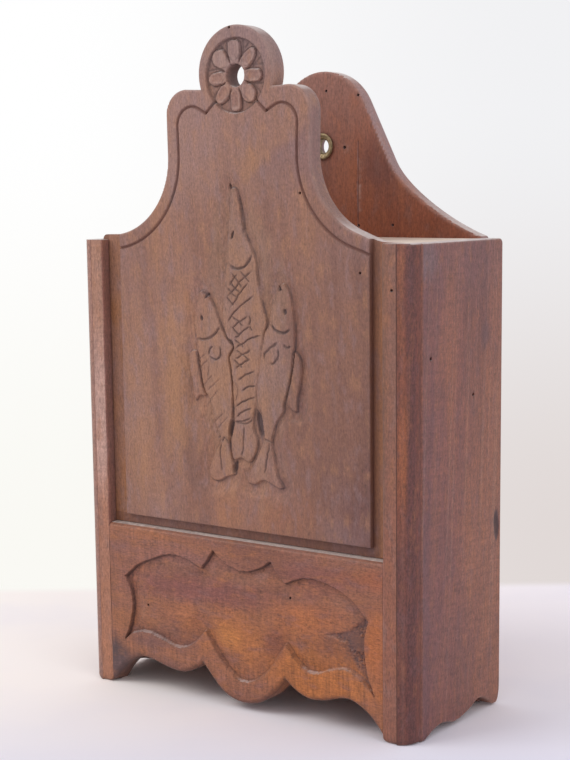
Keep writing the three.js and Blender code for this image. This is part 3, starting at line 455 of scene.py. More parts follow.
def grid_lines(lo, hi, step, extra=(), fine=(), fine_step=None):
    """Grid lines past both ends, fine near them and in one stretch, with extra lines."""
    near = (-0.6, -0.12, 0.12, 0.35, 0.7, 1.2)
    lines = [np.arange(lo, hi, step)]
    if fine_step:
        lines.append(np.arange(fine[0], fine[1], fine_step))
        lines[0] = lines[0][(lines[0] < fine[0] - step / 2) | (lines[0] > fine[1] + step / 2)]
    lines.append([lo + n for n in near] + [hi - n for n in near])
    lines.append(np.ravel([e for e in extra]))
    merged = np.unique(np.round(np.concatenate(lines), 3))
    keep = np.concatenate([[True], np.diff(merged) > 0.03])
    return merged[keep]


def round_lines(places):
    """Grid lines that resolve a small hole at each place."""
    return [p + n for p in places for n in (-1.0, -0.75, -0.55, -0.25, 0, 0.25, 0.55, 0.75, 1.0)]


def link(thing):
    bpy.context.scene.collection.objects.link(thing)
    return thing


def mesh_object(name, points, faces, marks=None, crease=38, flats=0):
    """A mesh from points in millimetres and lists of faces by their number of corners.
    The last faces, as many as flats says, are shaded flat."""
    mesh = bpy.data.meshes.new(name)
    loops = np.concatenate([f.ravel() for f in faces]).astype(np.int32)
    sizes = np.concatenate([np.full(len(f), f.shape[1]) for f in faces])
    starts = np.concatenate([[0], np.cumsum(sizes)[:-1]]).astype(np.int32)
    mesh.vertices.add(len(points))
    mesh.vertices.foreach_set("co", (points * MM).astype(np.float32).ravel())
    mesh.loops.add(len(loops))
    mesh.loops.foreach_set("vertex_index", loops)
    mesh.polygons.add(len(sizes))
    mesh.polygons.foreach_set("loop_start", starts)
    mesh.update(calc_edges=True)
    for key, values in (marks or {}).items():
        mesh.attributes.new(key, "FLOAT", "POINT").data.foreach_set("value", values.astype(np.float32))
    mesh.polygons.foreach_set("use_smooth", np.arange(len(sizes)) < len(sizes) - flats)
    mesh.set_sharp_from_angle(angle=math.radians(crease))
    return link(bpy.data.objects.new(name, mesh))


def volume(points, faces):
    """Six times the signed volume within the faces."""
    total = 0.0
    for f in faces:
        a = points[f[:, 0]]
        for k in range(1, f.shape[1] - 1):
            total += np.einsum("ij,ij->i", a, np.cross(points[f[:, k]], points[f[:, k + 1]])).sum()
    return total


def cut_grid(us, vs, loops):
    """A grid cut off at the loops: its points, their distance from the rim, the number of the first
    point of the rim, its faces, and the rim's edges, which all run the same way round."""
    uu, vv = np.meshgrid(us, vs, indexing="ij")
    sd = signed_distance(uu, vv, loops)
    inside = sd > 0
    nu, nv = sd.shape
    count = rim_start = int(inside.sum())
    index = np.full(sd.shape, -1)
    index[inside] = np.arange(count)
    flat = [np.stack([uu[inside], vv[inside]], 1)]
    crossing = []
    for du, dv in ((1, 0), (0, 1)):
        a, b = sd[:nu - du, :nv - dv], sd[du:, dv:]
        cut = (a > 0) != (b > 0)
        t = a[cut] / (a[cut] - b[cut])
        flat.append(np.stack([p[:nu - du, :nv - dv][cut] * (1 - t) + p[du:, dv:][cut] * t
                              for p in (uu, vv)], 1))
        ids = np.full(a.shape, -1)
        ids[cut] = count + np.arange(cut.sum())
        count += int(cut.sum())
        crossing.append(ids)
    along_u, along_v = crossing
    corners = (index[:-1, :-1], index[1:, :-1], index[1:, 1:], index[:-1, 1:])
    edges = (along_u[:, :-1], along_v[1:, :], along_u[:, 1:], along_v[:-1, :])
    case = sum((c >= 0).astype(int) << k for k, c in enumerate(corners))
    faces, rims = [], []
    for k in range(1, 16):
        cells = case == k
        if not cells.any():
            continue
        walk = []
        for c in range(4):
            if k >> c & 1:
                walk.append((corners[c], False))
            if (k >> c & 1) != (k >> (c + 1) % 4 & 1):
                walk.append((edges[c], True))
        faces.append(np.stack([ids[cells] for ids, _ in walk], 1))
        for (a, a_cut), (b, b_cut) in zip(walk, walk[1:] + walk[:1]):
            if a_cut and b_cut:
                rims.append(np.stack([a[cells], b[cells]], 1))
    distance = np.concatenate([sd[inside], np.zeros(count - rim_start)])
    return np.vstack(flat), distance, rim_start, faces, np.vstack(rims)


def outward(points, loops, step=0.05):
    """The way out of the loops at each point."""
    u, v = points.T
    rise_u = signed_distance(u + step, v, loops) - signed_distance(u - step, v, loops)
    rise_v = signed_distance(u, v + step, loops) - signed_distance(u, v - step, loops)
    out = -np.stack([rise_u, rise_v], 1)
    return out / np.maximum(np.linalg.norm(out, axis=1), 1e-6)[:, None]


def back_fill(rim, ring, on_bore):
    """Triangles over the rim, with its bores left open. Points that coincide are drawn apart."""
    ahead, behind = np.zeros((2, len(rim)), int)
    ahead[ring[:, 0]], behind[ring[:, 1]] = ring[:, 1], ring[:, 0]
    apart = rim + 0.2 * (rim[ahead] + rim[behind] - 2 * rim)
    pairs = [tuple(int(i) for i in e) for e in ring]
    fill = geometry.delaunay_2d_cdt([tuple(p) for p in apart], pairs, [], 2, 1e-7)
    triangles = np.array([[fill[3][i][0] for i in f] for f in fill[2]])
    sides = triangles * len(rim) + np.roll(triangles, -1, axis=1)
    beside = np.isin(sides, ring[:, 0] * len(rim) + ring[:, 1]).any(1)
    return triangles[beside | ~on_bore[triangles].all(1)]


def board(name, place, us, vs, loops, face, back, back_round=0.6, crease=38, wall=0.0,
          bore_wall=0.0):
    """A board over an outline: a carved front, walls and a flat back.
    face(u, v, d) gives the front's depth, wear and darkness, and place puts (u, v, depth) in space.
    wall and bore_wall give the painted shade of the walls and of a bore's walls."""
    flat, distance, rim_start, faces, rims = cut_grid(us, vs, loops)
    rim = flat[rim_start:]
    ring = rims - rim_start
    out = outward(rim, loops)
    depth, wear, dark = face(flat[:, 0], flat[:, 1], distance)
    rim_depth = depth[rim_start:]
    on_bore = np.zeros(len(rim), bool)
    if len(loops) > 1:
        on_bore = np.abs(signed_distance(rim[:, 0], rim[:, 1], loops[1:])) < 0.5
    shade = np.where(on_bore, max(bore_wall, wall), wall)
    # Walls, ring by ring, from the front edge to the rounded edge of the back
    low = back - back_round
    levels = [rim_depth + (low - rim_depth) * share for share in (0.35, 0.7)]
    levels += [low, back - back_round * 0.3, back]
    points, wears, darks = [np.column_stack([flat, depth])], [wear], [dark]
    before = rims
    for level, inset in zip(levels, (0, 0, 0, 0.3, 1)):
        last = sum(len(p) for p in points)
        after = ring + last
        faces.append(np.stack([before[:, 1], before[:, 0], after[:, 0], after[:, 1]], 1))
        before = after
        points.append(np.column_stack([rim - out * inset * back_round, np.maximum(level, rim_depth)]))
        wears.append(np.full(len(rim), 0.5 if inset else 0.1))
        darks.append(shade)
    triangles = back_fill(rim, ring, on_bore)
    faces.append(triangles[:, ::-1] + last)
    placed = np.column_stack(place(*np.vstack(points).T))
    if volume(placed, faces) < 0:
        faces = [f[:, ::-1] for f in faces]
    # The wear mark, and the darkening mark of dirt and painted shade
    marks = {"wear": np.concatenate(wears), "grime_and_shade": np.concatenate(darks)}
    return mesh_object(name, placed, faces, marks, crease, len(triangles))


def facing_front(x, z, depth):
    return x, depth + FRONT, z


def facing_side(sign):
    def place(depth, z, inward):
        return sign * (OUTER - inward), depth + FRONT, z
    return place


def facing_up(top):
    def place(x, depth, down):
        return x, depth + FRONT, top - down
    return place


def rectangle(u0, u1, v0, v1):
    return np.array([(u0, v0), (u1, v0), (u1, v1), (u0, v1)], float)


# Panel

def circle(x, z, radius, steps=48):
    """A closed round."""
    return arc(x, z, radius, 0, 360 - 360 / steps, steps)


def panel_outline():
    """A finial, shoulders, a waist and straight sides. The ends beside the waist are uneven."""
    shoulder = SHOULDER_HALF - SHOULDER_RADIUS
    drop = math.degrees(math.acos(NECK_HALF / FINIAL_RADIUS))
    outline = symmetric(np.vstack([
        arc(0, FINIAL_CENTRE, FINIAL_RADIUS, 90, -drop, 40),
        arc(shoulder, SHOULDER_TOP - SHOULDER_RADIUS, SHOULDER_RADIUS, 90, 0),
        arc(WAIST_HALF + SWEEP_RADIUS, PANEL_END + SWEEP_RADIUS, SWEEP_RADIUS, 180, 270, 26),
        arc(PANEL_HALF - END_RADIUS, PANEL_END - END_RADIUS, END_RADIUS, 90, 0, 6),
        [(PANEL_HALF, PANEL_BOTTOM)],
    ]))
    x, z = outline.T
    high = z > SIDE_HEIGHT - 5
    short_end = LEFT_END_GAP * ease(-x, STRIP_EDGE - 2, PANEL_HALF - 2) * high
    return np.column_stack([x + short_end, z - low_end(x) * high])


def low_end(x):
    """How far the head's right end lies below its left end."""
    return (PANEL_END - SIDE_HEIGHT) * ease(x, PANEL_HALF - LOW_END_REACH, STRIP_EDGE)


def border_lines():
    """The two cut lines on the right half, mirrored for the left."""
    sweep = (WAIST_HALF + SWEEP_RADIUS, PANEL_END + SWEEP_RADIUS)
    radius = SWEEP_RADIUS + LINE_INSET
    centre = (SHOULDER_HALF - LINE_INSET - LINE_RADIUS, SHOULDER_TOP - LINE_DROP - LINE_RADIUS)
    start = math.degrees(-math.acos((FIELD_HALF - sweep[0]) / radius))
    outer = np.vstack([
        arc(*sweep, radius, start, -180, 30),
        arc(*centre, LINE_RADIUS, 0, LINE_TURN, 16),
        [LINE_CUSP],
    ])
    turn = math.radians(CUSP_ANGLE)
    inner = np.array([
        LINE_CUSP,
        (ROSETTE_RADIUS * math.cos(turn), ROSETTE_CENTRE + ROSETTE_RADIUS * math.sin(turn)),
    ])
    lines = [outer, inner]
    lowered = np.column_stack([outer[:, 0], outer[:, 1] - low_end(outer[:, 0])])
    return [lowered, inner] + [line * (-1, 1) for line in lines]


def groove(u, v, line, half_width, depth, taper=True):
    """A gouged line: its depth and its darkness."""
    gap, share = along_line(u, v, line, half_width * 3)
    strength = np.clip(np.sin(np.pi * np.clip(share, 0.02, 0.98)) * 2.2, 0, 1) if taper else 1
    cut = np.clip(1 - (gap / half_width) ** 2, 0, 1) * strength
    stain = np.clip(1 - (gap / (half_width * 1.25)) ** 2, 0, 1) * strength
    return cut * depth, stain


def rosette(x, z):
    """Depth below the field, pale rims, and darkness inside the rosette's ring: wear and painted
    highlight on the petals' rims, and dirt and painted shade in the ground, the seams and the ring.
    """
    dx, dz = x, z - ROSETTE_CENTRE
    r = np.hypot(dx, dz)
    ring = ROSETTE_RADIUS
    ground = ROSETTE_DEPTH + 0.16 * lattice(x, z, 1.5, 5)
    height = np.zeros(np.shape(x))
    seam = np.zeros(np.shape(x))
    for turn, half, end, tip, hollow in PETALS:
        a = math.radians(turn)
        s = dx * math.sin(a) + dz * math.cos(a)
        t = dx * math.cos(a) - dz * math.sin(a)
        full = np.minimum(half, 0.36 * s + 0.35)
        over = np.clip((s - end + tip) / tip, 0, 1)
        width = np.maximum(full * np.sqrt(1 - over ** 2), 1e-3)
        wobble = 0.22 * lattice(s, t, 3.1, int(turn) + 9)
        gap = width - np.abs(t) + wobble
        gap = np.where((s > PETAL_START - 1) & (s < end), gap, -np.maximum(s - end, 0) - 0.3)
        rise = ease(gap, 0, 0.75)
        bowl = hollow * ease(gap, 0.9, 2.6) * ease(s, 7.5, 10.5) * fall_off(s, end - 3.4, end - 1.2)
        height = np.maximum(height, rise * (ROSETTE_DEPTH - 0.12 - bowl))
        seam = np.maximum(seam, (s > 4) * peak(gap + 0.12, 0.45))
    depth = ground - height
    depth = depth * fall_off(r, ring - 0.45, ring + 0.2)
    cut = np.clip(1 - ((r - ring + 0.15) / 0.75) ** 2, 0, 1)
    depth = np.where(r < ring + 1, np.maximum(depth, cut * 1.7), 0)
    depth = depth + 0.5 * seam * (r < ring - 0.6)
    dark = np.where(r < ring, 0.3 * fall_off(height, 0, 0.5) + 0.6 * seam, 0)
    dark = np.maximum(dark, cut * 0.6)
    inner = fall_off(r, GRIP_BORE + 0.4, GRIP_BORE + 3)
    worn = 0.5 * ease(height, 0.6 * ROSETTE_DEPTH, 0.9 * ROSETTE_DEPTH) * (r < ring - 1)
    return depth * (1 - 0.85 * inner), worn, dark * (1 - 0.5 * inner)


def max_distance(x, z, loops):
    """Signed distance from the nearest of several outlines that may overlap."""
    return np.max([signed_distance(x, z, [loop]) for loop in loops], axis=0)


def fish_relief(x, z):
    """Depth below the field, rubbed tops, and the dirt and painted shade of the fish and the ground scooped
    round them.
    """
    height = z - FISH_BASE
    bodies = [smooth(raised(p), True, 5) for p in (PIKE, LEFT_FISH, RIGHT_FISH)]
    fins = [smooth(raised(p), True, 5) for p in (LEFT_FIN, RIGHT_FIN)]
    # The ground is shallow beside the pike's snout, and where the pike and the right fish touch
    beside_snout = haze(x, height, (13, 124), (7, 34))
    left_side = haze(x, height, (-12, 140), (7, 30))
    touching = np.exp(-((x - 13.5) / 5) ** 2) * ease(height, 42, 50) * fall_off(height, 86, 94)
    deep = GROUND_DEPTH * (1 - 0.1 * beside_snout - 0.3 * left_side)
    deep = deep * (1 - 0.7 * touching)
    away = np.full(np.shape(x), FAR)
    line = np.full(np.shape(x), FAR)
    fall = np.zeros(np.shape(x))
    for number, loop in enumerate(bodies + fins):
        d = signed_distance(x, z, [loop])
        away = np.minimum(away, np.maximum(-d, 0))
        line = np.minimum(line, np.abs(d))
        level = deep if number < len(bodies) else FIN_LEVEL * deep
        edge = np.where(d > 0, fall_off(d, 0, 0.9), fall_off(-d, 0, 0.7))
        hollow = 0.25 * ease(d, 0.2, 1.2) * fall_off(d, 0.8, 6.5)
        fall = np.maximum(fall, level * edge + hollow)
    reach = GROUND_REACH * (1 + 0.25 * lattice(x, z, 14, 8))
    ground = deep * fall_off(away, 0.2, reach)
    gouged = 0.26 * lattice(x, z, (1.6, 4), 9) + 0.14 * lattice(x, z, (1.2, 1.7), 76)
    ground += gouged * fall_off(away, 2, reach) * ease(away, 0, 1)
    fall += 0.07 * (1 + lattice(x, z, (1.3, 2.2), 77)) * ease(height, 20, 60)
    pit = highest(*(fall_off(oval(x, height, *gap), 0.5, 1.0) for gap in GAPS))
    depth = np.maximum(np.where(away <= 0, fall, ground), pit * GAP_DEPTH)
    # Painted shadow on the ground to the lower right of each fish, painted shade in the deep gaps, and dirt
    # with painted shade along every outline
    beside = max_distance(x - 1.7, z + 0.9, bodies + fins)
    drawn = (0.75 + 0.8 * lattice(x, z, 4, 73)) * (1 - 0.85 * touching)
    dark = highest(0.14 * ease(beside, -1.4, 0.8) * (away > 0), 0.95 * pit,
                   0.75 * fall_off(line, 0.05, 0.65 + 0.3 * lattice(x, z, 3, 74)) * drawn)
    # Cuts, with a hand's small waver, darkened with dirt and painted shade, as are the eyes and the cuts by
    # the snouts
    wx = x + 0.32 * lattice(x, z, 2.3, 71)
    wz = z + 0.32 * lattice(x, z, 2.3, 72)
    patchy = 0.85 + 0.2 * lattice(x, z, 4, 75)
    for lines, half, cut in CUTS:
        for points in lines:
            path = smooth(raised(points), False, 5) if len(points) > 2 else raised(points)
            d, stain = groove(wx, wz, path, half * 1.2, cut)
            depth = depth + d * np.clip(1.3 - depth, 0.3, 1)
            dark = np.maximum(dark, 0.9 * stain * min(1, cut + 0.1) * patchy)
    for shape in EYES + SNOUT_CUTS:
        hole = fall_off(oval(x, height, *shape), 0.7, 1.35)
        depth = depth + EYE_DEPTH * hole
        dark = np.maximum(dark, hole)
    rubbed = 0.1 * ease(max_distance(x, z, bodies + fins), 0.6, 2.2)
    return depth, rubbed, dark


def panel_face(x, z, d):
    """The panel's front: a raised, carved field and the lower margin round it."""
    depth = np.full(np.shape(x), float(FIELD_FACE))
    depth += 0.10 * lattice(x, z, (22, 90), 1) + 0.05 * lattice(x, z, (5, 60), 2)
    dark = np.zeros(np.shape(x))
    inset = np.minimum(FIELD_HALF - np.abs(x), z - FIELD_BOTTOM)
    depth += rounded(inset, 0.9)
    near = (np.abs(x) < FISH_HALF) & (z > FISH_BASE + FISH_LOW) & (z < FISH_BASE + FISH_HIGH)
    carved, crown, stain = fish_relief(x[near], z[near])
    depth[near] += carved
    dark[near] = np.maximum(dark[near], stain)
    from_centre = np.hypot(x, z - ROSETTE_CENTRE)
    head = from_centre < ROSETTE_RADIUS + 1.2
    carved, rubbed, stain = rosette(x[head], z[head])
    depth[head] += carved
    dark[head] = np.maximum(dark[head], stain)
    for line in border_lines():
        cut, stain = groove(x, z, line, LINE_HALF_WIDTH, LINE_DEPTH, False)
        depth += cut * (from_centre > ROSETTE_RADIUS - 0.5)
        dark = np.maximum(dark, stain * 0.85)
    hole, stain = pits(x, z, PANEL_HOLES)
    depth += hole
    dark = np.maximum(dark, stain)
    bore = from_centre - GRIP_BORE
    depth += rounded(bore, GRIP_FLARE) + 0.9 * rounded(np.where(bore < 4, 9, d), 1.2)
    # The margin is the lower face outside the field, with painted shade beside the field and the
    # strips, and dirt with painted shade below the field
    margin = inset <= 0
    shaded = np.where(x > 0, 1.0, 0.2) * fall_off(-inset, 0.2, 2.6)
    margin_grime_and_shade = np.where(z < FIELD_BOTTOM, 0.45 + 0.3 * np.maximum(lattice(x, z, (2, 1), 3), 0), 0.8 * shaded)
    margin_grime_and_shade = np.maximum(margin_grime_and_shade, 0.4 * fall_off(STRIP_EDGE - np.abs(x), 0.2, 1.6))
    wear = np.where(bore < 4, 0, 0.6 * fall_off(d, 0.1, 1.6))
    wear = np.maximum(wear, 0.3 * fall_off(inset, 0.1, 1.0))
    # Wear and painted highlight on the rosette's petal rims
    wear[head] = np.maximum(wear[head], rubbed)
    wear[near] = np.maximum(wear[near], crown)
    depth = np.where(margin, TONGUE_FACE, depth)
    # Painted shade along the field's right edge
    edge = 0.5 * fall_off(inset, 0, 0.5) * (x > 0)
    return depth, np.where(margin, 0, wear), np.maximum(np.where(margin, margin_grime_and_shade, dark), edge)


def carved_panel():
    bore = circle(0, ROSETTE_CENTRE, GRIP_BORE)
    sides = [s * (FIELD_HALF + n) for s in (-1, 1) for n in (-0.9, -0.6, -0.35, -0.15, -0.01, 0.04)]
    steps = [FIELD_BOTTOM + n for n in (-0.04, 0.01, 0.15, 0.35, 0.6, 0.9)]
    us = grid_lines(-PANEL_HALF, PANEL_HALF, 0.75, sides + round_lines(h[0] for h in PANEL_HOLES),
                    (-47, 49), 0.42)
    vs = grid_lines(PANEL_BOTTOM, PANEL_TOP, 0.9, steps + round_lines(h[1] for h in PANEL_HOLES),
                    (FISH_BASE - 4, PANEL_TOP), 0.45)
    # The grip bore's wall gets painted shade
    return board("carved_panel", facing_front, us, vs, [panel_outline(), bore], panel_face,
                 TONGUE_BACK, 0.7, bore_wall=0.6)


# Apron

def scallop(sign):
    """Points of the lower edge from one foot to the middle lobe."""
    reach = STRIP_EDGE - sign * APRON_CENTRE
    half = [(reach, 0), (reach - 6, 8.1), (reach - 13, 14.4), (reach - 25, 19.4), (54, 15.4),
            (45, 15), (36.5, 18.1), (29.6, 23)]
    return [(APRON_CENTRE + sign * x, z) for x, z in half]


def apron_outline():
    """Two feet, two scalloped arches and a lobe between them."""
    left, right = scallop(-1), scallop(1)
    x, z = APRON_CENTRE, LOBE_BOTTOM
    steep, rise, level = 21, 14, 15
    return np.vstack([
        [(-APRON_HALF, 0), (-STRIP_EDGE - 0.5, 0)],
        smooth(left),
        bezier(left[-1], (x - steep, rise), (x - level, z), (x, z))[1:],
        bezier((x, z), (x + level, z), (x + steep, rise), right[-1])[1:],
        smooth(right[::-1])[1:],
        [(STRIP_EDGE + 0.5, 0), (APRON_HALF, 0), (APRON_HALF, APRON_TOP), (-APRON_HALF, APRON_TOP)],
    ])


def apron_face(x, z, d):
    """The apron's front: a sunk cartouche with one rough corner."""
    depth = 0.08 * lattice(x, z, (60, 12), 11) + 0.12
    outline = np.vstack([smooth(part, False, 6)[:-1] for part in CARTOUCHE])
    c = signed_distance(x, z, [outline])
    sunk = c > 0
    rough = signed_distance(x, z, [np.array(ROUGH_CORNER, float)])
    ragged = c + 0.22 * lattice(x, z, 2.2, 12)
    deep = CARTOUCHE_DEPTH * (1 + 0.18 * lattice(x, z, 16, 13))
    fade = fall_off(c, 0.5, CARTOUCHE_REACH * (1 + 0.3 * lattice(x, z, 20, 14)))
    floor = 0.22 + (deep - 0.22) * fade * (1 - 0.65 * haze(x, z, (-32, 82), (5, 5)))
    # The way that the cartouche's wall faces: where it faces up it slopes, and where it faces right it gets
    # painted shade
    step = 0.4
    beyond_x = signed_distance(x + step, z, [outline]) - c
    beyond_z = signed_distance(x, z + step, [outline]) - c
    length = np.maximum(np.hypot(beyond_x, beyond_z), 1e-6)
    faces_right, low = np.maximum(beyond_x / length, 0), ease(beyond_z / length, 0.2, 0.8)
    pecks = lattice(x, z, 1.3, 15) * (0.6 + lattice(x, z, 4, 16))
    rugged = ease(rough + 0.5 * lattice(x, z, 1.7, 17), -0.3, 1.2) * sunk
    fine = lattice(x, z, 0.75, 18) * (0.7 + lattice(x, z, 5, 19))
    floor = floor + 0.25 * np.maximum(pecks, 0) * fade + rugged * (0.9 + 0.45 * fine) + 0.07 * fine
    depth = depth + floor * ease(ragged, -0.22, 0.35 + 1.0 * low)
    side_on = peak(ragged - 0.35, 0.95)
    foot_line = fall_off(np.abs(ragged - 1.5), 0.1, 0.9 + 0.6 * pecks)
    underside_shade = (z < 34) * fall_off(d + 0.5 * pecks, 0.6, 3.4) * (1 - 0.4 * ease(-x, 40, 60))
    foot = ease(-x, 70, 92) * fall_off(z, 20, 27) * (x < 0)
    crack = peak(z - 15.6 - 0.3 * lattice(x, z, 6, 20), 0.3) * (x < -72)
    hole, stain = pits(x, z, APRON_HOLES)
    depth += hole
    right = x > 0
    outer = STRIP_EDGE - np.where(right, LIP[1], LIP[-1]) - np.abs(x)
    depth += rounded(outer, 0.7) * np.where(right, 0.3, 1) + 1.7 * rounded(APRON_TOP - z, 2.3)
    depth += rounded(np.where(z < 60, d, 9), 2.6)
    # Painted shade on the cartouche's walls, most where they face right, along their foot and along the
    # lower edges; the other terms are tool marks, the rough corner, a dark foot, a crack, wormholes and the
    # ends by the strips
    dark = highest(
        (0.9 - 0.6 * low + 0.25 * faces_right) * side_on, low * (0.45 + 0.5 * faces_right) * foot_line,
        rugged * (0.66 + 0.4 * fine), 0.5 * np.maximum(pecks, 0) * fade * sunk,
        0.3 * np.maximum(fine, 0) * sunk, 0.55 * underside_shade + 0.35 * foot, 0.8 * crack, stain,
        np.where(right, 0, 0.55) * fall_off(outer, 0.3, 1.0))
    wear = 0.3 * fall_off(d, 0.1, 1.2) * (z > 40)
    behind = outer <= 0.08
    return np.where(behind, TONGUE_FACE, depth), np.where(behind, 0, wear), np.where(behind, 0.8, dark)


def carved_apron():
    sides = [s * (STRIP_EDGE - LIP[s] + n) for s in (-1, 1) for n in (-0.8, -0.5, -0.3, -0.12, -0.04)]
    us = grid_lines(-APRON_HALF, APRON_HALF, 0.5, sides + round_lines(h[0] for h in APRON_HOLES))
    vs = grid_lines(0, APRON_TOP, 0.5, round_lines(h[1] for h in APRON_HOLES))
    return board("carved_apron", facing_front, us, vs, [apron_outline()], apron_face,
                 TONGUE_BACK, 0.6)


# Side boards

def side_outline():
    """The outline of a side board: two low arches between its feet, and rounded rear corners."""
    start, rear, heel, heel_rise, top = 14, 8, 4, 12, 3
    span = DEPTH - rear - start

    def part(points):
        return smooth([(start + share * span, rise) for share, rise in points])

    back_heel = arc(0, 0, 1, -90, 0, 10) * (heel, heel_rise - 0.9) + (DEPTH - heel, heel_rise)
    return np.vstack([
        [(0, 0)],
        part([(0, 0), (0.11, 3.2), (0.23, 5), (0.33, 4.1), (0.42, 2.2)]),
        part([(0.42, 2.2), (0.51, 2.65), (0.6, 4.1), (0.69, 6)])[1:],
        part([(0.69, 6), (0.76, 8.2), (0.83, 8.3), (0.93, 5.2), (1.01, 0.9)])[1:],
        back_heel,
        arc(DEPTH - top, SIDE_HEIGHT - top, top, 0, 90, 8),
        [(0, SIDE_HEIGHT)],
    ])


def side_face(depth, z, d, joint):
    """The outer face of a side board: a rounded front corner, a small step and the flat side."""
    reach = OUTER - QUIRK_STEP - INNER
    t = np.clip((CORNER_DEPTH - depth) / CORNER_DEPTH, 0, 1)
    inward = QUIRK_STEP + reach * (1 - np.sqrt(1 - t * t))
    flat = CORNER_DEPTH + QUIRK_FLAT
    inward = np.where(depth > flat, QUIRK_STEP * fall_off(depth, flat, flat + 0.55), inward)
    inward = inward + (0.09 * lattice(depth, z, (14, 90), 21) + 0.1) * ease(depth, flat, flat + 4)
    hole, stain = pits(depth, z, SIDE_HOLES, 1.35)
    edge = np.minimum(np.minimum(d, SIDE_HEIGHT - z), 9)
    inward = inward + hole + rounded(np.where(depth < 4, 9, edge), 1.0) * ease(depth, 1, 5)
    inward = inward + rounded(z, 2.6) * fall_off(depth, 9, 16)
    quirk = peak(depth - flat - 0.3, 0.5)
    # Wear and a painted highlight along the quirk
    wear = np.maximum(0.6 * fall_off(edge, 0.2, 1.6) * ease(depth, 0, 2), 0.3 * quirk)
    up = z - CHIP[1]
    chip = fall_off(np.hypot((depth - CHIP[0] + 0.12 * up) / 3.6, up / 11), 0.4, 1.05)
    dark = highest(stain, 0.8 * chip, joint * fall_off(OUTER - INNER - inward, 0.1, 0.5),
                   0.3 * fall_off(z, 0.5, 5) * (depth < 20))
    return np.minimum(inward + 0.5 * chip, OUTER - INNER - 0.04), wear, dark


def side(sign, name):
    """A side board. The right one has the wormholes and a dark joint at its front."""
    holes = SIDE_HOLES if sign > 0 else []
    corner = [CORNER_DEPTH * (1 - math.cos(n / 20 * math.pi / 2)) for n in range(1, 20)]
    quirk = [CORNER_DEPTH + QUIRK_FLAT + n for n in (-0.5, -0.15, 0.05, 0.2, 0.35, 0.6, 0.9)]
    rear = [DEPTH - n for n in (1.8, 2.4, 3.2, 4.2, 5.2)]
    foot = [n * 0.6 for n in range(2, 22)]
    head = [SIDE_HEIGHT - n for n in (1.7, 2.3, 3.2, 4.5)]
    chip = [CHIP[1] - 6 + n for n in range(12)]
    us = grid_lines(0, DEPTH, 1.6, corner + quirk + rear + round_lines(h[0] for h in holes))
    vs = grid_lines(0, SIDE_HEIGHT, 3.0, foot + head + chip + round_lines(h[1] for h in holes))

    def face(depth, z, d):
        return side_face(depth, z, d, 0.8 if sign > 0 else 0)

    return board(name, facing_side(sign), us, vs, [side_outline()], face, OUTER - INNER, 0.25, 30)


# Plain boards and strips

def plain_face(seed, radius=0.7, bow=(40, 12), sink=0.0, wear_reach=2.0):
    """A face without carving, sunk that far, with rounded and rubbed edges."""
    def face(u, v, d):
        depth = sink + 0.07 + 0.07 * lattice(u, v, bow, seed) + rounded(d, radius)
        return depth, 0.7 * fall_off(d, 0.1, wear_reach), np.zeros(np.shape(u))
    return face


def back_outline():
    """The outline of the back: a round crest that sweeps down to the side boards."""
    sweep = [(46, 43), (53.2, 28.8), (82, 9), (INNER, 0.8)]
    return symmetric(np.vstack([
        arc(0, CREST_TOP - CREST_RADIUS, CREST_RADIUS, 90, 26, 26),
        bezier(*((x, SIDE_HEIGHT + rise) for x, rise in sweep), 22),
        [(INNER, BACK_BOTTOM)],
    ]))


def back_face(x, z, d):
    """The inner face of the back, with wormholes, a scratch and a worn edge."""
    depth = BACK_FACE + 0.08 + 0.08 * lattice(x, z, (25, 80), 31) + rounded(d, 1.2)
    peg = np.hypot(x - PEG_HOLE[0], z - PEG_HOLE[1])
    hole, stain = pits(x, z, BACK_HOLES, np.where(peg < 4, 1.2, 1.0))
    scratch, mark = groove(x, z, np.array(SCRATCH), 0.6, 0.5, False)
    hang = np.hypot(x, z - HANG_HOLE)
    edge = (0.12 + 0.4 * ease(lattice(x, z, 9, 34), -0.4, 0.3)) * fall_off(d, 0.1, 2.4) * (hang > 12)
    flecks = np.exp(-((x - 25.8) / 1.1) ** 2) * (z > 268) * (z < 316) * np.maximum(lattice(x, z, 1.7, 33), 0)
    bruise = np.exp(-((np.hypot(x - 15.6, z - 318) - 2.2) / 0.7) ** 2) * (x > 15)
    # Dirt and a painted shadow in a ring round the eyelet
    rim_grime_and_shadow = 0.35 * fall_off(hang, 7.6, 9.5)
    wear = highest(edge, 1.6 * flecks, 0.6 * bruise)
    return depth + hole + scratch, wear, highest(stain, 0.35 * mark, rim_grime_and_shadow)


def back():
    hole = circle(0, HANG_HOLE, EYELET_BORE + EYELET_WALL + 0.3)
    us = grid_lines(-INNER, INNER, 1.2, round_lines({h[0] for h in BACK_HOLES})
                    + [s * n for s in (-1, 1) for n in (4.2, 4.8, 5.3, 6, 7.4, 8.4)])
    vs = grid_lines(BACK_BOTTOM, CREST_TOP, 1.4, round_lines({h[1] for h in BACK_HOLES})
                    + [HANG_HOLE + n * 0.8 for n in range(-12, 13)])
    return board("back", facing_front, us, vs, [back_outline(), hole], back_face, DEPTH - HEAD_SHOWS, 0.8)


def plain(name, place, box, face, thickness, step=3):
    """A rectangular board over the box (u0, u1, v0, v1)."""
    us, vs = grid_lines(*box[:2], step), grid_lines(*box[2:], step)
    return board(name, place, us, vs, [rectangle(*box)], face, thickness, 0.5)


def strip_outline(sign):
    edge, outer = STRIP_EDGE - LIP[sign], INNER - STRIP_PLAY
    half = np.vstack([
        [(outer, SIDE_HEIGHT), (outer, 0)],
        arc(edge + FOOT_RADIUS, FOOT_RADIUS, FOOT_RADIUS, 270, 180, 10),
        [(edge, SIDE_HEIGHT)],
    ])
    return half * (sign, 1)


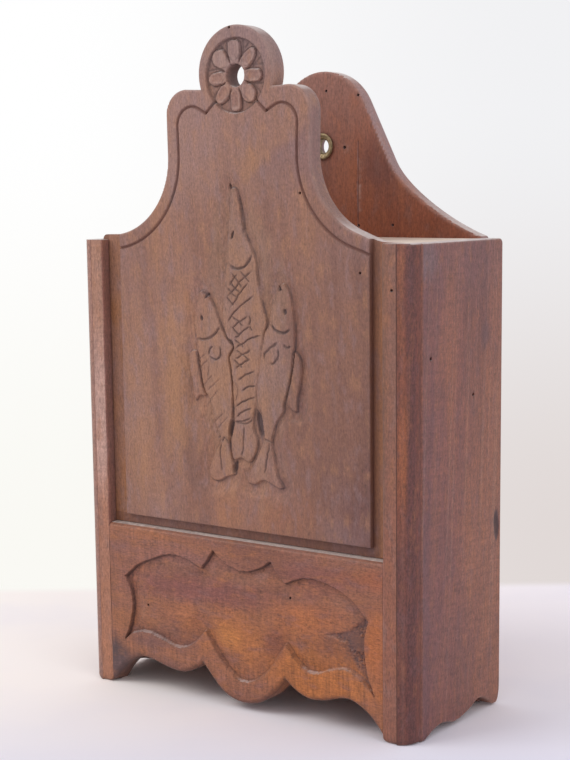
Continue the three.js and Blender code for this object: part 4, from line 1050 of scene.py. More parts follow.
def strip_face(sign):
    """The front of a front strip. The left one has a nibbled edge, the right one a dark joint."""
    def face(x, z, d):
        depth = 0.1 + 0.08 * lattice(x, z, (9, 60), 41 + sign)
        inner = np.abs(x) - STRIP_EDGE + LIP[sign]
        nibbles = np.maximum(lattice(x * 0 + 3, z, (5, 9), 43 + sign), 0) if sign < 0 else 0
        depth += rounded(np.where(z < APRON_TOP, inner + 0.6, inner), 0.9) + rounded(z, 2.2)
        depth += fall_off(inner, 0.2, 1.4) * 0.7 * nibbles
        hole, stain = pits(x, z, STRIP_HOLES)
        wear = 0.15 * fall_off(inner, 0.2, 1.6) + 0.2 * fall_off(SIDE_HEIGHT - z, 0.1, 0.8)
        joint = fall_off(INNER - np.abs(x), 0.1, 0.55) * (0.95 if sign > 0 else 0.1)
        foot = 0.3 * fall_off(z, 0.5, 5)
        return depth + hole, wear, highest(stain, joint, foot)
    return face


def strip(sign, name):
    ends = sorted((sign * (STRIP_EDGE - LIP[sign]), sign * (INNER - STRIP_PLAY)))
    us = grid_lines(*ends, 0.7, round_lines(h[0] for h in STRIP_HOLES if h[0] * sign > 0))
    vs = grid_lines(0, SIDE_HEIGHT, 2.5, [n * 0.6 for n in range(2, 12)]
                    + round_lines(h[1] for h in STRIP_HOLES if h[0] * sign > 0))
    # The strip's walls get painted shade
    return board(name, facing_front, us, vs, [strip_outline(sign)],
                 strip_face(sign), STRIP_DEPTH, 0.4, wall=0.35)


# Round pieces

def lathe(name, profile, centre, sides=48, axis="y", wobble=0.0, seed=0):
    """A closed profile of (radius, place along the axis) turned round that axis."""
    ring = np.array(profile, float)
    closed = ring[0][0] > 1e-6 or ring[-1][0] > 1e-6
    angle = np.linspace(0, 2 * np.pi, sides, endpoint=False)
    rng = np.random.default_rng(seed)
    uneven = 1 + wobble * (np.sin(3 * angle + rng.uniform(0, 6)) + np.sin(2 * angle + rng.uniform(0, 6)))
    radius = ring[:, :1] * uneven
    u, v = radius * np.cos(angle), radius * np.sin(angle)
    w = np.repeat(ring[:, 1:], sides, 1)
    across, along = (u, w) if axis == "y" else (w, u)
    flat = np.stack([centre[0] + across, centre[1] + along, centre[2] + v], -1).reshape(-1, 3)
    rows = len(ring)
    ids = np.arange(rows * sides).reshape(rows, sides)
    after = np.roll(ids, -1, 1)
    faces = [np.vstack([np.stack([ids[i], after[i], after[(i + 1) % rows], ids[(i + 1) % rows]], 1)
                        for i in range(rows if closed else rows - 1)])]
    if volume(flat, faces) < 0:
        faces = [f[:, ::-1] for f in faces]
    thing = mesh_object(name, flat, faces, None, 50)
    if not closed:
        merge(thing)
    return thing


def merge(thing):
    """Joins the points that coincide on the axis."""
    bm = bmesh.new()
    bm.from_mesh(thing.data)
    bmesh.ops.remove_doubles(bm, verts=bm.verts, dist=1e-6)
    bm.to_mesh(thing.data)
    bm.free()


def eyelet():
    """A rolled flange in front, a barrel, and its rim turned over behind."""
    flange, fit = 1.1, 0.3
    outer = EYELET_BORE + EYELET_WALL
    grip = EYELET_GRIP + fit
    roll = [(EYELET_BORE, 0.8), (EYELET_BORE + 0.15, 0.0), (EYELET_BORE + 0.6, -0.55),
            (EYELET_BORE + 1.3, -0.85), (EYELET_BORE + 2.1, -1.25), (EYELET_RIM - 0.75, -fit - flange),
            (EYELET_RIM - 0.25, -1.2), (EYELET_RIM, -0.8), (EYELET_RIM - 0.1, -0.42),
            (EYELET_RIM - 0.5, -fit), (outer, -fit)]
    barrel = [(outer, grip), (6.2, grip), (6.6, grip + 0.3), (6.4, grip + 0.8), (5.4, grip + 0.75),
              (4.5, grip + 0.45), (EYELET_BORE, grip - 0.2)]
    return lathe("eyelet", roll + barrel, (0, BACK_FACE + FRONT, HANG_HOLE), 64, "y", 0.006, 4)


def nail(name, centre, seed):
    shank = [(0, -21), (0.45, -20.4), (0.9, -3)]
    head = [(0.9, -1), (2.0, -1), (2.1, -0.75), (1.95, -0.3), (1.3, -0.06), (0, -0.02)]
    return lathe(name, shank + head, centre, 24, "y", 0.03, seed)


def brad(name, sign, depth, z, seed):
    start = sign * GUIDE_EDGE
    profile = [(0, 0), (0.8, 0.05 * sign), (1.25, 0.3 * sign), (1.25, 0.8 * sign),
               (0.7, 0.8 * sign), (0.65, 10 * sign), (0, 13 * sign)]
    return lathe(name, profile, (start, depth + FRONT, z), 20, "x", 0.03, seed)


# Materials

def srgb(r, g, b):
    """A colour given in 0 to 255 as Blender's linear colour."""
    def linear(c):
        c = c / 255
        return c / 12.92 if c <= 0.04045 else ((c + 0.055) / 1.055) ** 2.4
    return linear(r), linear(g), linear(b), 1.0


class Graph:
    """Short calls for the nodes of one material or of the world."""

    def __init__(self, name="", tree=None, lean=(0, 0, 0)):
        if tree is None:
            self.material = bpy.data.materials.new(name)
            self.material.use_nodes = True
            tree = self.material.node_tree
        self.tree = tree
        self.tree.nodes.clear()
        self.place = self.tree.nodes.new("ShaderNodeTexCoord").outputs["Object"]
        self.grain = self.node("ShaderNodeMapping", {"Vector": self.place, "Rotation": lean}).outputs[0]

    def put(self, socket, value):
        if isinstance(value, bpy.types.NodeSocket):
            self.tree.links.new(value, socket)
        else:
            socket.default_value = value

    def node(self, kind, values=(), **settings):
        made = self.tree.nodes.new(kind)
        for key, value in settings.items():
            setattr(made, key, value)
        for key, value in dict(values).items():
            self.put(made.inputs[key], value)
        return made

    def math(self, operation, a, b=0.0, clamp=False):
        return self.node("ShaderNodeMath", {0: a, 1: b}, operation=operation, use_clamp=clamp).outputs[0]

    def times(self, *factors):
        return functools.reduce(lambda a, b: self.math("MULTIPLY", a, b), factors)

    def plus(self, *terms):
        return functools.reduce(lambda a, b: self.math("ADD", a, b), terms)

    def less(self, a, b):
        return self.math("SUBTRACT", a, b)

    def absolute(self, value):
        return self.math("ABSOLUTE", value)

    def vector(self, operation, *values):
        made = self.node("ShaderNodeVectorMath", dict(enumerate(values)), operation=operation)
        return made.outputs["Value" if operation in ("LENGTH", "DOT_PRODUCT") else "Vector"]

    def mix(self, share, a, b, blend="MIX"):
        made = self.node("ShaderNodeMix", {0: share, 6: a, 7: b}, data_type="RGBA", blend_type=blend)
        return made.outputs[2]

    def layered(self, colour, *layers):
        """The colour with each tone laid over it in turn, as strongly as its masks together say."""
        for tone, *masks in layers:
            over = srgb(*tone) if isinstance(tone, tuple) else tone
            colour = self.mix(self.times(*masks), colour, over)
        return colour

    def stretch(self, scale, shift=(0, 0, 0)):
        values = {"Vector": self.grain, "Scale": scale, "Location": shift}
        return self.node("ShaderNodeMapping", values).outputs[0]

    def noise(self, vector, scale=1.0, detail=2.0, rough=0.5, bend=0.0):
        return self.node("ShaderNodeTexNoise", {
            "Vector": vector, "Scale": scale, "Detail": detail, "Roughness": rough, "Distortion": bend,
        }).outputs[0]

    def band(self, value, lo, hi, low=0.0, high=1.0):
        """A smooth step from low to high between two values."""
        made = self.node("ShaderNodeMapRange", {0: value, 1: lo, 2: hi, 3: low, 4: high},
                         interpolation_type="SMOOTHSTEP")
        return made.outputs[0]

    def zone(self, value, lo, hi, low=0.0, high=1.0):
        """A band between two places in millimetres."""
        return self.band(value, lo * MM, hi * MM, low, high)

    def ramp(self, value, stops):
        made = self.node("ShaderNodeValToRGB", {0: value})
        ramp = made.color_ramp
        while len(ramp.elements) < len(stops):
            ramp.elements.new(0.5)
        for element, (at, colour) in zip(ramp.elements, stops):
            element.position = at
            element.color = colour
        return made.outputs[0]

    def bump(self, height, strength, distance):
        values = {"Strength": strength, "Distance": distance, "Height": height}
        return self.node("ShaderNodeBump", values).outputs[0]

    def mark(self, name):
        return self.node("ShaderNodeAttribute", attribute_name=name).outputs["Fac"]

    def split(self, vector):
        return self.node("ShaderNodeSeparateXYZ", {0: vector}).outputs

    def axes(self):
        return self.split(self.place)

    def normal(self):
        return self.split(self.node("ShaderNodeNewGeometry").outputs["Normal"])

    def finish(self, shader_values):
        shader = self.node("ShaderNodeBsdfPrincipled", shader_values)
        self.node("ShaderNodeOutputMaterial", {0: shader.outputs[0]})
        return self.material


# Tones of worn wood, of a pale dusting with painted top light, of dirt with painted shade, and of pores
PALE = srgb(190, 160, 148)
PALE_DUST_AND_LIGHT = srgb(214, 203, 198)
GRIME_AND_SHADE = srgb(62, 38, 34)
PORE_SHADE = (0.34, 0.28, 0.27, 1)


def wood(name, along, tones, shift=0.0, figure=1.0, grain=1.0, bloom=0.3, paint=None, curl=0.0,
         lean=(0, 0, 0), dust_and_light=1.0, dust_and_light_from=0.3, rough=0.5, gain=1.0, grime_and_shade_tone=None, dust_and_light_mask=None):
    """Oiled fruitwood with its grain along one axis. tones are its dark, middle and warm colours and
    its grey bloom. paint adds the stains of one board, and two more arguments give the tone of its
    dirt and painted shade and limit where faces that look up get a pale dusting and painted top light."""
    g = Graph(name, lean=lean)
    dark, middle, warm, grey = (srgb(*t) for t in tones)
    move = (shift, shift * 0.7, shift * 1.3)

    def pattern(across, length, detail, roughness=0.5, bend=0.0):
        """Noise with that many features in a metre, across the grain and along it."""
        scale = tuple(length if i == along else across for i in range(3))
        return g.noise(g.stretch(scale, move), 1, detail, roughness, bend)

    bands = pattern(75, 7, 3, 0.55, 0.6)
    broad = pattern(24, 5, 3, 0.6, 0.6)
    streaks = pattern(1250, 380, 3, 0.7)
    threads = pattern(760, 34, 2, 0.5, 0.3)
    pores = pattern(2100, 240, 1)
    mottle = pattern(190, 80, 2, 0.55)
    stipple = pattern(820, 820, 2, 0.6)
    patches = g.noise(g.stretch((19, 19, 14), move), 1, 4, 0.65)
    tone = g.plus(g.times(bands, 0.5 * figure), g.times(broad, 0.5 * figure), 0.5 - 0.5 * figure)
    colour = g.ramp(tone, [(0.36, dark), (0.50, middle), (0.66, warm)])
    if paint:
        colour = paint(g, colour)
    colour = g.mix(g.band(patches, 0.45, 0.68, 0.0, bloom), colour, grey)
    colour = g.mix(g.band(mottle, 0.52, 0.74, 0.0, 0.34), colour, warm)
    colour = g.mix(g.band(mottle, 0.28, 0.48, 0.34, 0.0), colour, grey)
    light = g.plus(g.times(streaks, 1.15 * grain), g.times(threads, 0.3 * grain),
                   g.times(stipple, 0.55 * grain), gain - 1.0 * grain)
    if curl:
        ripple = pattern(60, 560, 2, 0.6, 0.8)
        light = g.plus(light, g.times(g.less(ripple, 0.5), g.band(broad, 0.40, 0.62, 0.25 * curl, curl)))
    shade = g.node("ShaderNodeCombineColor", {0: light, 1: light, 2: light}).outputs[0]
    colour = g.mix(1.0, colour, shade, "MULTIPLY")
    specks = g.band(pores, 0.62, 0.76, 0.0, 0.45)
    colour = g.mix(specks, colour, g.mix(1.0, colour, PORE_SHADE, "MULTIPLY"))
    worn = g.times(g.mark("wear"), g.band(pattern(260, 60, 3, 0.6), 0.25, 0.75, 0.25, 1.0))
    colour = g.mix(g.math("MULTIPLY", worn, 0.5, True), colour, PALE)
    # Faces that look up turn pale: a dusting, and painted top light
    pale_patches = g.band(pattern(150, 60, 3, 0.6), 0.25, 0.7, 0.5 * dust_and_light, 0.95 * dust_and_light)
    dust_and_top_light = g.math("MULTIPLY", g.band(g.normal()[2], dust_and_light_from, 0.98), pale_patches, True)
    if dust_and_light_mask:
        dust_and_top_light = g.times(dust_and_top_light, dust_and_light_mask(g))
    colour = g.mix(dust_and_top_light, colour, PALE_DUST_AND_LIGHT)
    # The darkening mark holds dirt, dark joints and wormholes, and painted shade in cuts, hollows, on walls
    # and along edges
    grime_and_shade = g.mark("grime_and_shade")
    colour = g.mix(g.math("MULTIPLY", grime_and_shade, 0.85, True), colour, grime_and_shade_tone(g) if grime_and_shade_tone else GRIME_AND_SHADE)
    roughness = g.plus(g.times(patches, 0.25), rough - 0.12)
    roughness = g.math("ADD", roughness, g.times(grime_and_shade, 0.25), True)
    relief = g.plus(g.times(streaks, 0.8), g.times(specks, -1.2))
    return g.finish({"Base Color": colour, "Roughness": roughness, "Normal": g.bump(relief, 0.4, 0.0002),
                     "Specular IOR Level": 0.45, "Sheen Weight": 0.06, "Sheen Roughness": 0.5})


def spot(g, centre, size, soft=1.0):
    """1 at a place, with a ragged fall to 0 at its size on each axis, all in millimetres."""
    shift = g.vector("SUBTRACT", g.place, tuple(c * MM for c in centre))
    length = g.vector("LENGTH", g.vector("MULTIPLY", shift, tuple(1 / (s * MM) for s in size)))
    uneven = g.times(g.less(g.noise(g.stretch((120, 120, 40)), 1, 3), 0.5), 0.9)
    return g.band(g.plus(length, uneven), 1 - soft, 1.0, 1.0, 0.0)


def front_spot(g, x, z, half_x, half_z, soft, half_depth=40):
    """A spot on the front, at x and z."""
    return spot(g, (x, FRONT, z), (half_x, half_depth, half_z), soft)


def paint_panel(g, colour):
    """The panel's stains, redder and darker to the right, partly as painted shade, and paler where hands
    rubbed it.
    """
    x, _, z = g.axes()
    ragged = g.plus(x, g.times(g.noise(g.stretch((30, 30, 12)), 1, 3), 0.04))
    # A pointed figure in the head, darker to the right of its point
    head = g.zone(z, 280, 310)
    point_x, point_z, lean = 34 * MM, 303 * MM, 0.95
    slope = g.less(g.less(ragged, point_x), g.times(g.less(z, point_z), lean))
    margin = g.zone(g.absolute(x), FIELD_HALF - 0.3, FIELD_HALF + 0.3, 0.0, 0.85)
    return g.layered(
        colour,
        # Darker to the right: partly stain, partly painted shade
        ((106, 66, 55), g.zone(ragged, -10, 115, 0.0, 0.62), g.zone(z, 140, 300, 1.0, 0.35)),
        ((92, 58, 60), front_spot(g, 94, 122, 34, 44, 0.9), 0.6),
        ((178, 128, 86), front_spot(g, -46, 190, 18, 72, 0.9), 0.5),
        ((148, 114, 106), g.zone(z, 260, 370, 0.0, 0.4)),
        ((152, 96, 66), front_spot(g, 10, 116, 74, 22, 0.9), 0.45),
        ((164, 118, 88), front_spot(g, -76, 175, 18, 80, 0.8), 0.5),
        ((172, 118, 78), front_spot(g, 0, FISH_BASE + 70, 44, 105, 0.8), 0.6),
        ((132, 106, 92), front_spot(g, 4, FISH_BASE + 84, 36, 92, 0.3), 0.35),
        ((164, 118, 80), front_spot(g, 18, 306, 30, 22, 0.9), 0.4),
        ((124, 92, 92), g.zone(slope, -3, 4, 0.0, 0.6), head),
        ((172, 132, 112), g.zone(x, -50, 10, 0.35, 0.0), head),
        ((134, 114, 112), g.zone(z, SHOULDER_TOP + 4, SHOULDER_TOP + 16, 0.0, 0.4)),
        ((156, 104, 66), margin),
        ((184, 125, 82), margin, g.zone(x, 90, 92)))


def panel_grime_and_shade(g):
    """Tone of the panel's dirt and painted shade: reddish in the cut line, grey in the carving."""
    fish = front_spot(g, 4, FISH_BASE + 88, 64, 108, 0.05, 60)
    flower = front_spot(g, 0, ROSETTE_CENTRE, 25, 25, 0.05, 60)
    return g.mix(g.math("MAXIMUM", fish, flower), srgb(92, 54, 46), srgb(70, 56, 58))


def paint_apron(g, colour):
    colour = g.layered(colour, *((tone, front_spot(g, *spread, 0.85), strength)
                                 for *spread, strength, tone in APRON_STAINS))
    # A pale line on the top ledge: a dusting and painted top light
    ledge = g.zone(g.axes()[2], APRON_TOP - 0.3, APRON_TOP - 0.1, 0.0, 0.9)
    return g.layered(colour, ((214, 202, 194), ledge))


def apron_grime_and_shade(g):
    """Tone of the apron's dirt and painted shade: brown on its edges, and grey in the rough corner."""
    corner = front_spot(g, 80, 46, 24, 26, 0.05, 60)
    foot = front_spot(g, -96, 10, 26, 18, 0.4, 60)
    return g.mix(g.math("MAXIMUM", corner, foot), GRIME_AND_SHADE, srgb(92, 72, 72))


def below_top(g):
    """1 below the apron's rounded top edge, where the pale dusting and painted top light lie on ledges only.
    """
    return g.zone(g.axes()[2], APRON_TOP - 3, APRON_TOP - 2.4, 1.0, 0.0)


def paint_side(g, colour):
    """The stains of a side board and of its rounded corner, which is darker on the right; the corner's
    bands are partly painted light and shade on the round.
    """
    x, y, z = g.axes()
    right = g.zone(x, -10, 10)
    wander = g.times(g.noise(g.stretch((20, 20, 8)), 1, 3), 0.03)
    corner = g.zone(y, FRONT + 10.8, FRONT + 11.8, 1.0, 0.0)
    right_corner = g.times(corner, right)
    streak = g.noise(g.stretch((340, 340, 9)), 1, 2, 0.5, 0.5)
    # A bright streak that wanders across the rounded corner, partly painted highlight
    drift = g.noise(g.stretch((1, 1, 6)), 1, 2, 0.5)
    middle = g.plus(-0.0002, g.times(drift, 0.0024))
    off = g.absolute(g.less(g.less(y, FRONT * MM), middle))
    broken = g.band(g.noise(g.stretch((60, 60, 12)), 1, 2), 0.35, 0.65, 0.3, 1.0)

    def stripe(depth, core, reach, strength):
        """A stripe from top to bottom at that depth."""
        return g.zone(g.absolute(g.less(y, (FRONT + depth) * MM)), core, reach, strength, 0.0)

    lines = g.noise(g.stretch((600, 600, 3.5), (2, 5, 1)), 1, 1, 0.4, 0.15)
    return g.layered(
        colour,
        ((160, 102, 70), g.zone(g.plus(y, wander), 0, 62, 0.0, 0.6), g.zone(z, 130, 240, 1.0, 0.45)),
        ((120, 84, 88), g.zone(z, 215, 262, 0.0, 0.45)),
        ((112, 68, 72), g.zone(y, FRONT + 11.8, FRONT + 40, 0.55, 0.0)),
        ((128, 108, 112), spot(g, (OUTER, FRONT + 16, 258), (20, 18, 16), 0.9), 0.5),
        # The corner is pale on the left board and dark on the right one, and its bands are partly painted
        # light and shade on the round, partly streaks in the wood
        (g.mix(right, srgb(168, 124, 106), srgb(100, 55, 47)), corner, 0.8),
        ((132, 80, 56), right_corner, g.band(streak, 0.56, 0.68, 0.0, 0.5)),
        ((170, 94, 48), g.zone(off, 0, 2.1, 0.66, 0.0), g.zone(z, 90, 150, 0.3, 1.0), broken, right_corner),
        ((124, 62, 42), stripe(8.4, 0.4, 2.4, 0.6), right_corner),
        ((142, 84, 62), stripe(CORNER_DEPTH + QUIRK_FLAT, 0.2, 1.4, 0.55)),
        ((176, 132, 108), g.band(lines, 0.58, 0.66, 0.0, 0.22), g.less(1.0, right_corner)),
        ((70, 60, 68), spot(g, (OUTER, FRONT + CHIP[0], CHIP[1]), (20, 3.4, 11), 0.3), 0.8),
        ((96, 66, 70), spot(g, (OUTER, FRONT + 78, 215), (20, 9, 10), 0.8), 0.6))


def paint_strip(g, colour):
    """The right strip is darker and the left one paler, partly painted light and shade, with a paler band
    partway up the left one.
    """
    x, _, z = g.axes()
    right = g.zone(x, -10, 10)
    left = g.less(1.0, right)
    inner = g.band(g.absolute(g.normal()[0]), 0.6, 0.95, 0.0, 0.8)
    return g.layered(
        colour,
        # Darker right strip and paler left strip: partly painted shade and light
        ((124, 84, 70), right, 0.6),
        ((170, 128, 108), left, 0.7),
        ((172, 112, 82), left, g.zone(z, 100, 170, 0.75, 0.0)),
        ((196, 158, 146), left, g.zone(z, 100, 140), g.zone(z, 180, 230, 0.7, 0.0)),
        ((158, 92, 64), right, g.zone(z, 80, 200, 0.45, 0.0)),
        ((112, 76, 58), g.zone(x, STRIP_EDGE - 1.5, STRIP_EDGE + 2.5, 0.75, 0.0), right,
         g.zone(z, 100, 140)),
        # Painted shade on the strips' side faces, deeper on the right strip
        (g.mix(left, srgb(96, 58, 54), srgb(146, 96, 84)), inner))


def paint_back(g, colour):
    """The back's streaks, warm at the bottom and grey at the crest, and paler on faces that look sideways,
    partly bleached, partly painted light.
    """
    z = g.axes()[2]
    streak = g.noise(g.stretch((120, 120, 5), (3, 1, 2)), 1, 3, 0.6, 0.4)
    return g.layered(
        colour,
        ((150, 84, 54), g.band(streak, 0.5, 0.7, 0.0, 0.5)),
        ((158, 114, 102), g.zone(z, 300, 360, 0.0, 0.6)),
        ((144, 74, 42), g.zone(z, 250, 310, 0.6, 0.0)),
        ((100, 56, 52), spot(g, (38, FRONT + BACK_FACE, 306), (18, 20, 24), 0.9), 0.6),
        ((128, 62, 30), g.zone(z, 262, 300, 0.4, 0.0)),
        # Paler on faces that look sideways: partly bleached wood, partly painted light
        ((164, 138, 138), g.band(g.absolute(g.normal()[0]), 0.4, 0.9, 0.0, 0.75)))


def metal(name, colour, tarnish, rough, scale=700):
    g = Graph(name)
    stain = g.noise(g.stretch((scale, scale, scale)), 1, 4, 0.65)
    tint = g.mix(g.band(stain, 0.4, 0.68, 0.0, 0.85), srgb(*colour), srgb(*tarnish))
    return g.finish({"Base Color": tint, "Roughness": g.plus(g.times(stain, 0.35), rough),
                     "Normal": g.bump(stain, 0.25, 0.0001), "Metallic": 1.0})


def materials():
    """The looks by name. The tones of a wood are its dark, middle, warm and grey ones."""
    panel = ((112, 74, 62), (144, 102, 84), (170, 120, 84), (142, 114, 114))
    apron = ((112, 66, 54), (148, 94, 70), (180, 112, 62), (134, 96, 94))
    sides = ((102, 58, 54), (136, 82, 71), (162, 99, 65), (120, 84, 85))
    strips = ((114, 72, 58), (144, 96, 78), (164, 106, 68), (138, 106, 98))
    inside = ((100, 56, 40), (140, 84, 64), (164, 98, 64), (134, 94, 84))
    # The lid's pale tones are partly painted light on its face that looks up
    lid = ((204, 172, 144), (230, 204, 174), (240, 214, 180), (234, 222, 208))
    return {
        "panel": wood("panel_wood", 2, panel, 0.3, 0.6, 1.0, 0.35, paint_panel, lean=(0, 0.05, 0),
                      dust_and_light=0.85, dust_and_light_from=0.72, gain=0.9, grime_and_shade_tone=panel_grime_and_shade),
        "apron": wood("apron_wood", 0, apron, 1.7, 0.5, 1.15, 0.15, paint_apron, 1.1, dust_and_light=0.7,
                      dust_and_light_from=0.66, gain=0.83, grime_and_shade_tone=apron_grime_and_shade, dust_and_light_mask=below_top),
        "side": wood("side_wood", 2, sides, 2.9, 0.65, 1.3, 0.25, paint_side, 0.6, (0.05, 0, 0),
                     gain=0.80),
        "strip": wood("strip_wood", 2, strips, 4.1, 0.7, 1.1, 0.25, paint_strip, 0.3, gain=0.86),
        "inside": wood("inside_wood", 2, inside, 5.3, 0.8, 1.0, 0.2, paint_back, rough=0.55,
                       gain=0.92, dust_and_light_from=0.7),
        "lid": wood("top_wood", 0, lid, 6.1, 1.0, 0.8, 0.4, dust_and_light=0.5),
        "brass": metal("brass", (158, 140, 110), (112, 98, 76), 0.4),
        "iron": metal("iron", (92, 84, 78), (70, 48, 38), 0.45),
    }


# The object

def add(thing, body, material, slot, *nodes):
    thing.data.materials.append(material)
    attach(thing, body)
    if nodes:
        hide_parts(*nodes)


def build():
    """Makes every piece, hangs it on the body that moves it, and hides the node it stands for."""
    looks = materials()
    add(carved_panel(), "panel", looks["panel"], "panel_wood", "sliding_panel")
    add(carved_apron(), "carcass", looks["apron"], "apron_wood", "apron_board")
    low, high = FLOOR_TOP + BRAD_MARGIN, TOP_UNDERSIDE - BRAD_MARGIN
    for sign, hand in ((1, "right"), (-1, "left")):
        add(side(sign, hand + "_side"), "carcass", looks["side"], "side_wood", "side_board_" + hand)
        add(strip(sign, hand + "_strip"), "carcass", looks["strip"], "strip_wood", "front_strip_" + hand)
        ends = sorted((sign * (GUIDE_EDGE + HEAD_SHOWS), sign * INNER))
        guide = plain(hand + "_guide", facing_front, (*ends, GUIDE_LOW, GUIDE_HIGH),
                      plain_face(50 + sign, 0.5, sink=GUIDE_FACE), GUIDE_BACK)
        add(guide, "carcass", looks["inside"], "inside_wood", "guide_strip_" + hand)
        for i, z in enumerate((low, (low + high) / 2, high), 1):
            pin = brad(f"{hand}_brad_{i}", sign, (GUIDE_FACE + GUIDE_BACK) / 2, z, i)
            add(pin, "carcass", looks["iron"], "iron", f"guide_brad_{hand}_{i}")
    add(back(), "carcass", looks["inside"], "inside_wood", "back_board")
    top_box = (-INNER + 0.05, INNER - 0.05, GUIDE_FACE, BACK_FACE - 0.05)
    top = plain("top", facing_up(SIDE_HEIGHT), top_box, plain_face(61, 0.8, (50, 12)),
                SIDE_HEIGHT - TOP_UNDERSIDE)
    add(top, "carcass", looks["lid"], "inside_wood", "top_board")
    base = plain("floor", facing_up(FLOOR_TOP), (-FLOOR_HALF, FLOOR_HALF, GUIDE_FACE, FLOOR_BACK),
                 plain_face(62, 0.6, (50, 12)), FLOOR_TOP - FLOOR_LEVEL)
    add(base, "carcass", looks["inside"], "inside_wood", "floor_board")
    add(eyelet(), "carcass", looks["brass"], "brass", "hanging_eyelet")
    for i, x in enumerate(NAIL_PLACES, 1):
        for level, z in (("floor", FLOOR_NAIL), ("top", TOP_NAIL)):
            head = nail(f"{level}_nail_head_{i}", (x, DEPTH + FRONT, z), i)
            add(head, "carcass", looks["iron"], "iron", f"{level}_nail_{i}")


# Stage, light and camera

AZIMUTH = 36.47
ELEVATION = 8.62
ROLL = -0.69
CAMERA_PLACE = (0.55913, -0.76229, 0.29784)
LENS = 77.76
SENSOR = 36
SHIFT = (0.0054, 0.0699)
WALL_LINE = 0.25
SHEET_HALF = 4.0
LAMP_AIM = (0, 0, 0.15)
LAMP_SIZE = 1.6
# Each lamp with its place, power and colour
LAMPS = [("window", (-1.4, -1.7, 2.2), 30, (1.0, 0.98, 0.95)),
         ("fill", (2.0, -0.9, 1.0), 8, (0.97, 0.98, 1.0))]


def camera():
    """A camera that sees the box from its front right, a little from above."""
    a, e, r = (math.radians(v) for v in (AZIMUTH, ELEVATION, ROLL))
    back_way = np.array([math.sin(a) * math.cos(e), -math.cos(a) * math.cos(e), math.sin(e)])
    right = np.array([math.cos(a), math.sin(a), 0])
    up = np.cross(back_way, right)
    x = right * math.cos(r) + up * math.sin(r)
    y = up * math.cos(r) - right * math.sin(r)
    data = bpy.data.cameras.new("camera")
    data.lens, data.sensor_width = LENS, SENSOR
    data.shift_x, data.shift_y = SHIFT
    thing = link(bpy.data.objects.new("camera", data))
    thing.matrix_world = Matrix([[*row] for row in np.column_stack([x, y, back_way])]).to_4x4()
    thing.location = CAMERA_PLACE
    bpy.context.scene.camera = thing


def seen(g):
    """1 for rays that show the surroundings: seen straight, in a gloss or through glass."""
    path = g.node("ShaderNodeLightPath").outputs
    straight = g.math("MAXIMUM", path["Is Camera Ray"], path["Is Glossy Ray"])
    return g.math("MAXIMUM", straight, path["Is Transmission Ray"])


def wall_tone(g, way):
    """Colour of the pale wall behind, by the way one looks from the camera, painted lighter to the upper
    left as light falling from the left.
    """
    a = math.radians(AZIMUTH)
    up = g.band(g.split(way)[2], -0.21, 0.05)
    across = g.band(g.vector("DOT_PRODUCT", way, (math.cos(a), math.sin(a), 0)), -0.14, 0.17)
    left_side = g.mix(up, srgb(250, 249, 244), srgb(255, 255, 255))
    right_side = g.mix(up, srgb(225, 217, 215), srgb(241, 241, 243))
    return g.mix(across, left_side, right_side)


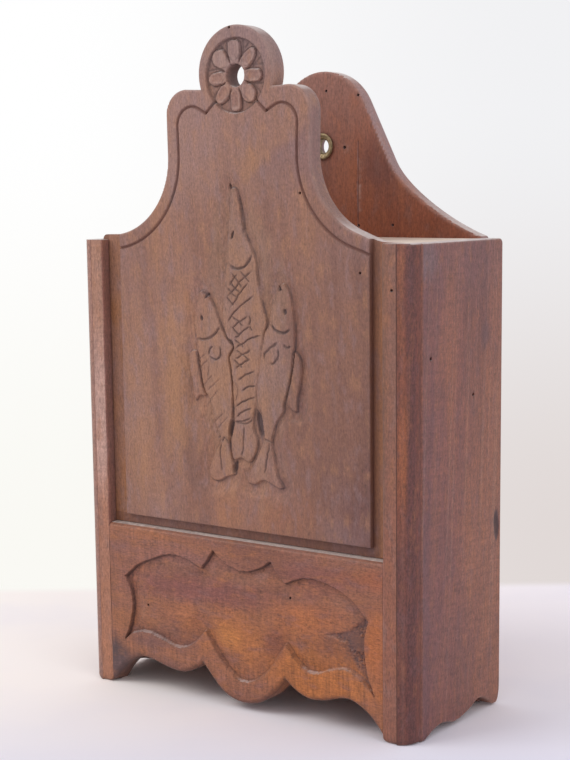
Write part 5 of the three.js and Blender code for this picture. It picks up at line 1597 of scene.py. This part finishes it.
def stage_floor():
    """A sheet of paper that glows with the wall's tone beyond a line, and is darker and bluer in front of
    the box, a painted shadow.
    """
    g = Graph("floor_paper")
    x, y, _ = g.axes()
    a = math.radians(AZIMUTH)
    beyond = g.less(g.times(y, math.cos(a)), g.times(x, math.sin(a)))
    sideways = g.plus(g.times(x, math.cos(a)), g.times(y, math.sin(a)))
    # Painted shadow on the paper in front of the box, weaker to the right
    near = g.times(g.band(beyond, -0.31, 0.04, 0.95, 0.0), g.band(beyond, -0.42, -0.16),
                   g.band(sideways, 0.05, 0.25, 1.0, 0.75))
    weave = g.noise(g.stretch((9, 9, 9)), 1, 3)
    paper = g.mix(g.band(sideways, -0.25, 0.3), srgb(253, 247, 241), srgb(252, 247, 250))
    paper = g.layered(paper, ((205, 211, 238), near), ((224, 224, 240), g.band(weave, 0.4, 0.7, 0.0, 0.18)))
    plain_paper = g.node("ShaderNodeBsdfDiffuse", {0: paper})
    way = g.vector("NORMALIZE", g.vector("SUBTRACT", g.place, CAMERA_PLACE))
    glow = g.node("ShaderNodeEmission", {0: wall_tone(g, way), 1: 1.0})
    share = g.times(g.band(beyond, WALL_LINE - 0.012, WALL_LINE + 0.012), seen(g))
    mixed = g.node("ShaderNodeMixShader", {0: share, 1: plain_paper.outputs[0], 2: glow.outputs[0]})
    g.node("ShaderNodeOutputMaterial", {0: mixed.outputs[0]})
    mesh = bpy.data.meshes.new("floor_sheet")
    corners = [(SHEET_HALF * i, SHEET_HALF * j, 0) for i, j in ((-1, -1), (1, -1), (1, 1), (-1, 1))]
    mesh.from_pydata(corners, [], [(0, 1, 2, 3)])
    mesh.materials.append(g.material)
    link(bpy.data.objects.new("floor_sheet", mesh))


def lamp(name, place, aim, size, power, colour):
    data = bpy.data.lights.new(name, "AREA")
    data.shape, data.size = "SQUARE", size
    data.energy, data.color = power, colour
    thing = link(bpy.data.objects.new(name, data))
    thing.rotation_mode = "QUATERNION"
    thing.rotation_quaternion = (Vector(aim) - Vector(place)).to_track_quat("-Z", "Y")
    thing.location = place


def light():
    """A pale room with two lamps."""
    world = bpy.data.worlds.new("room")
    bpy.context.scene.world = world
    world.use_nodes = True
    g = Graph(tree=world.node_tree)
    way = g.node("ShaderNodeTexCoord").outputs["Generated"]
    sky = g.node("ShaderNodeBackground", {0: srgb(246, 244, 250), 1: 0.82})
    wall = g.node("ShaderNodeBackground", {0: wall_tone(g, way), 1: 1.0})
    both = g.node("ShaderNodeMixShader", {0: seen(g), 1: sky.outputs[0], 2: wall.outputs[0]})
    g.node("ShaderNodeOutputWorld", {0: both.outputs[0]})
    for name, place, power, colour in LAMPS:
        lamp(name, place, LAMP_AIM, LAMP_SIZE, power, colour)


build()
stage_floor()
light()
camera()
bpy.context.scene.view_settings.view_transform = "Standard"
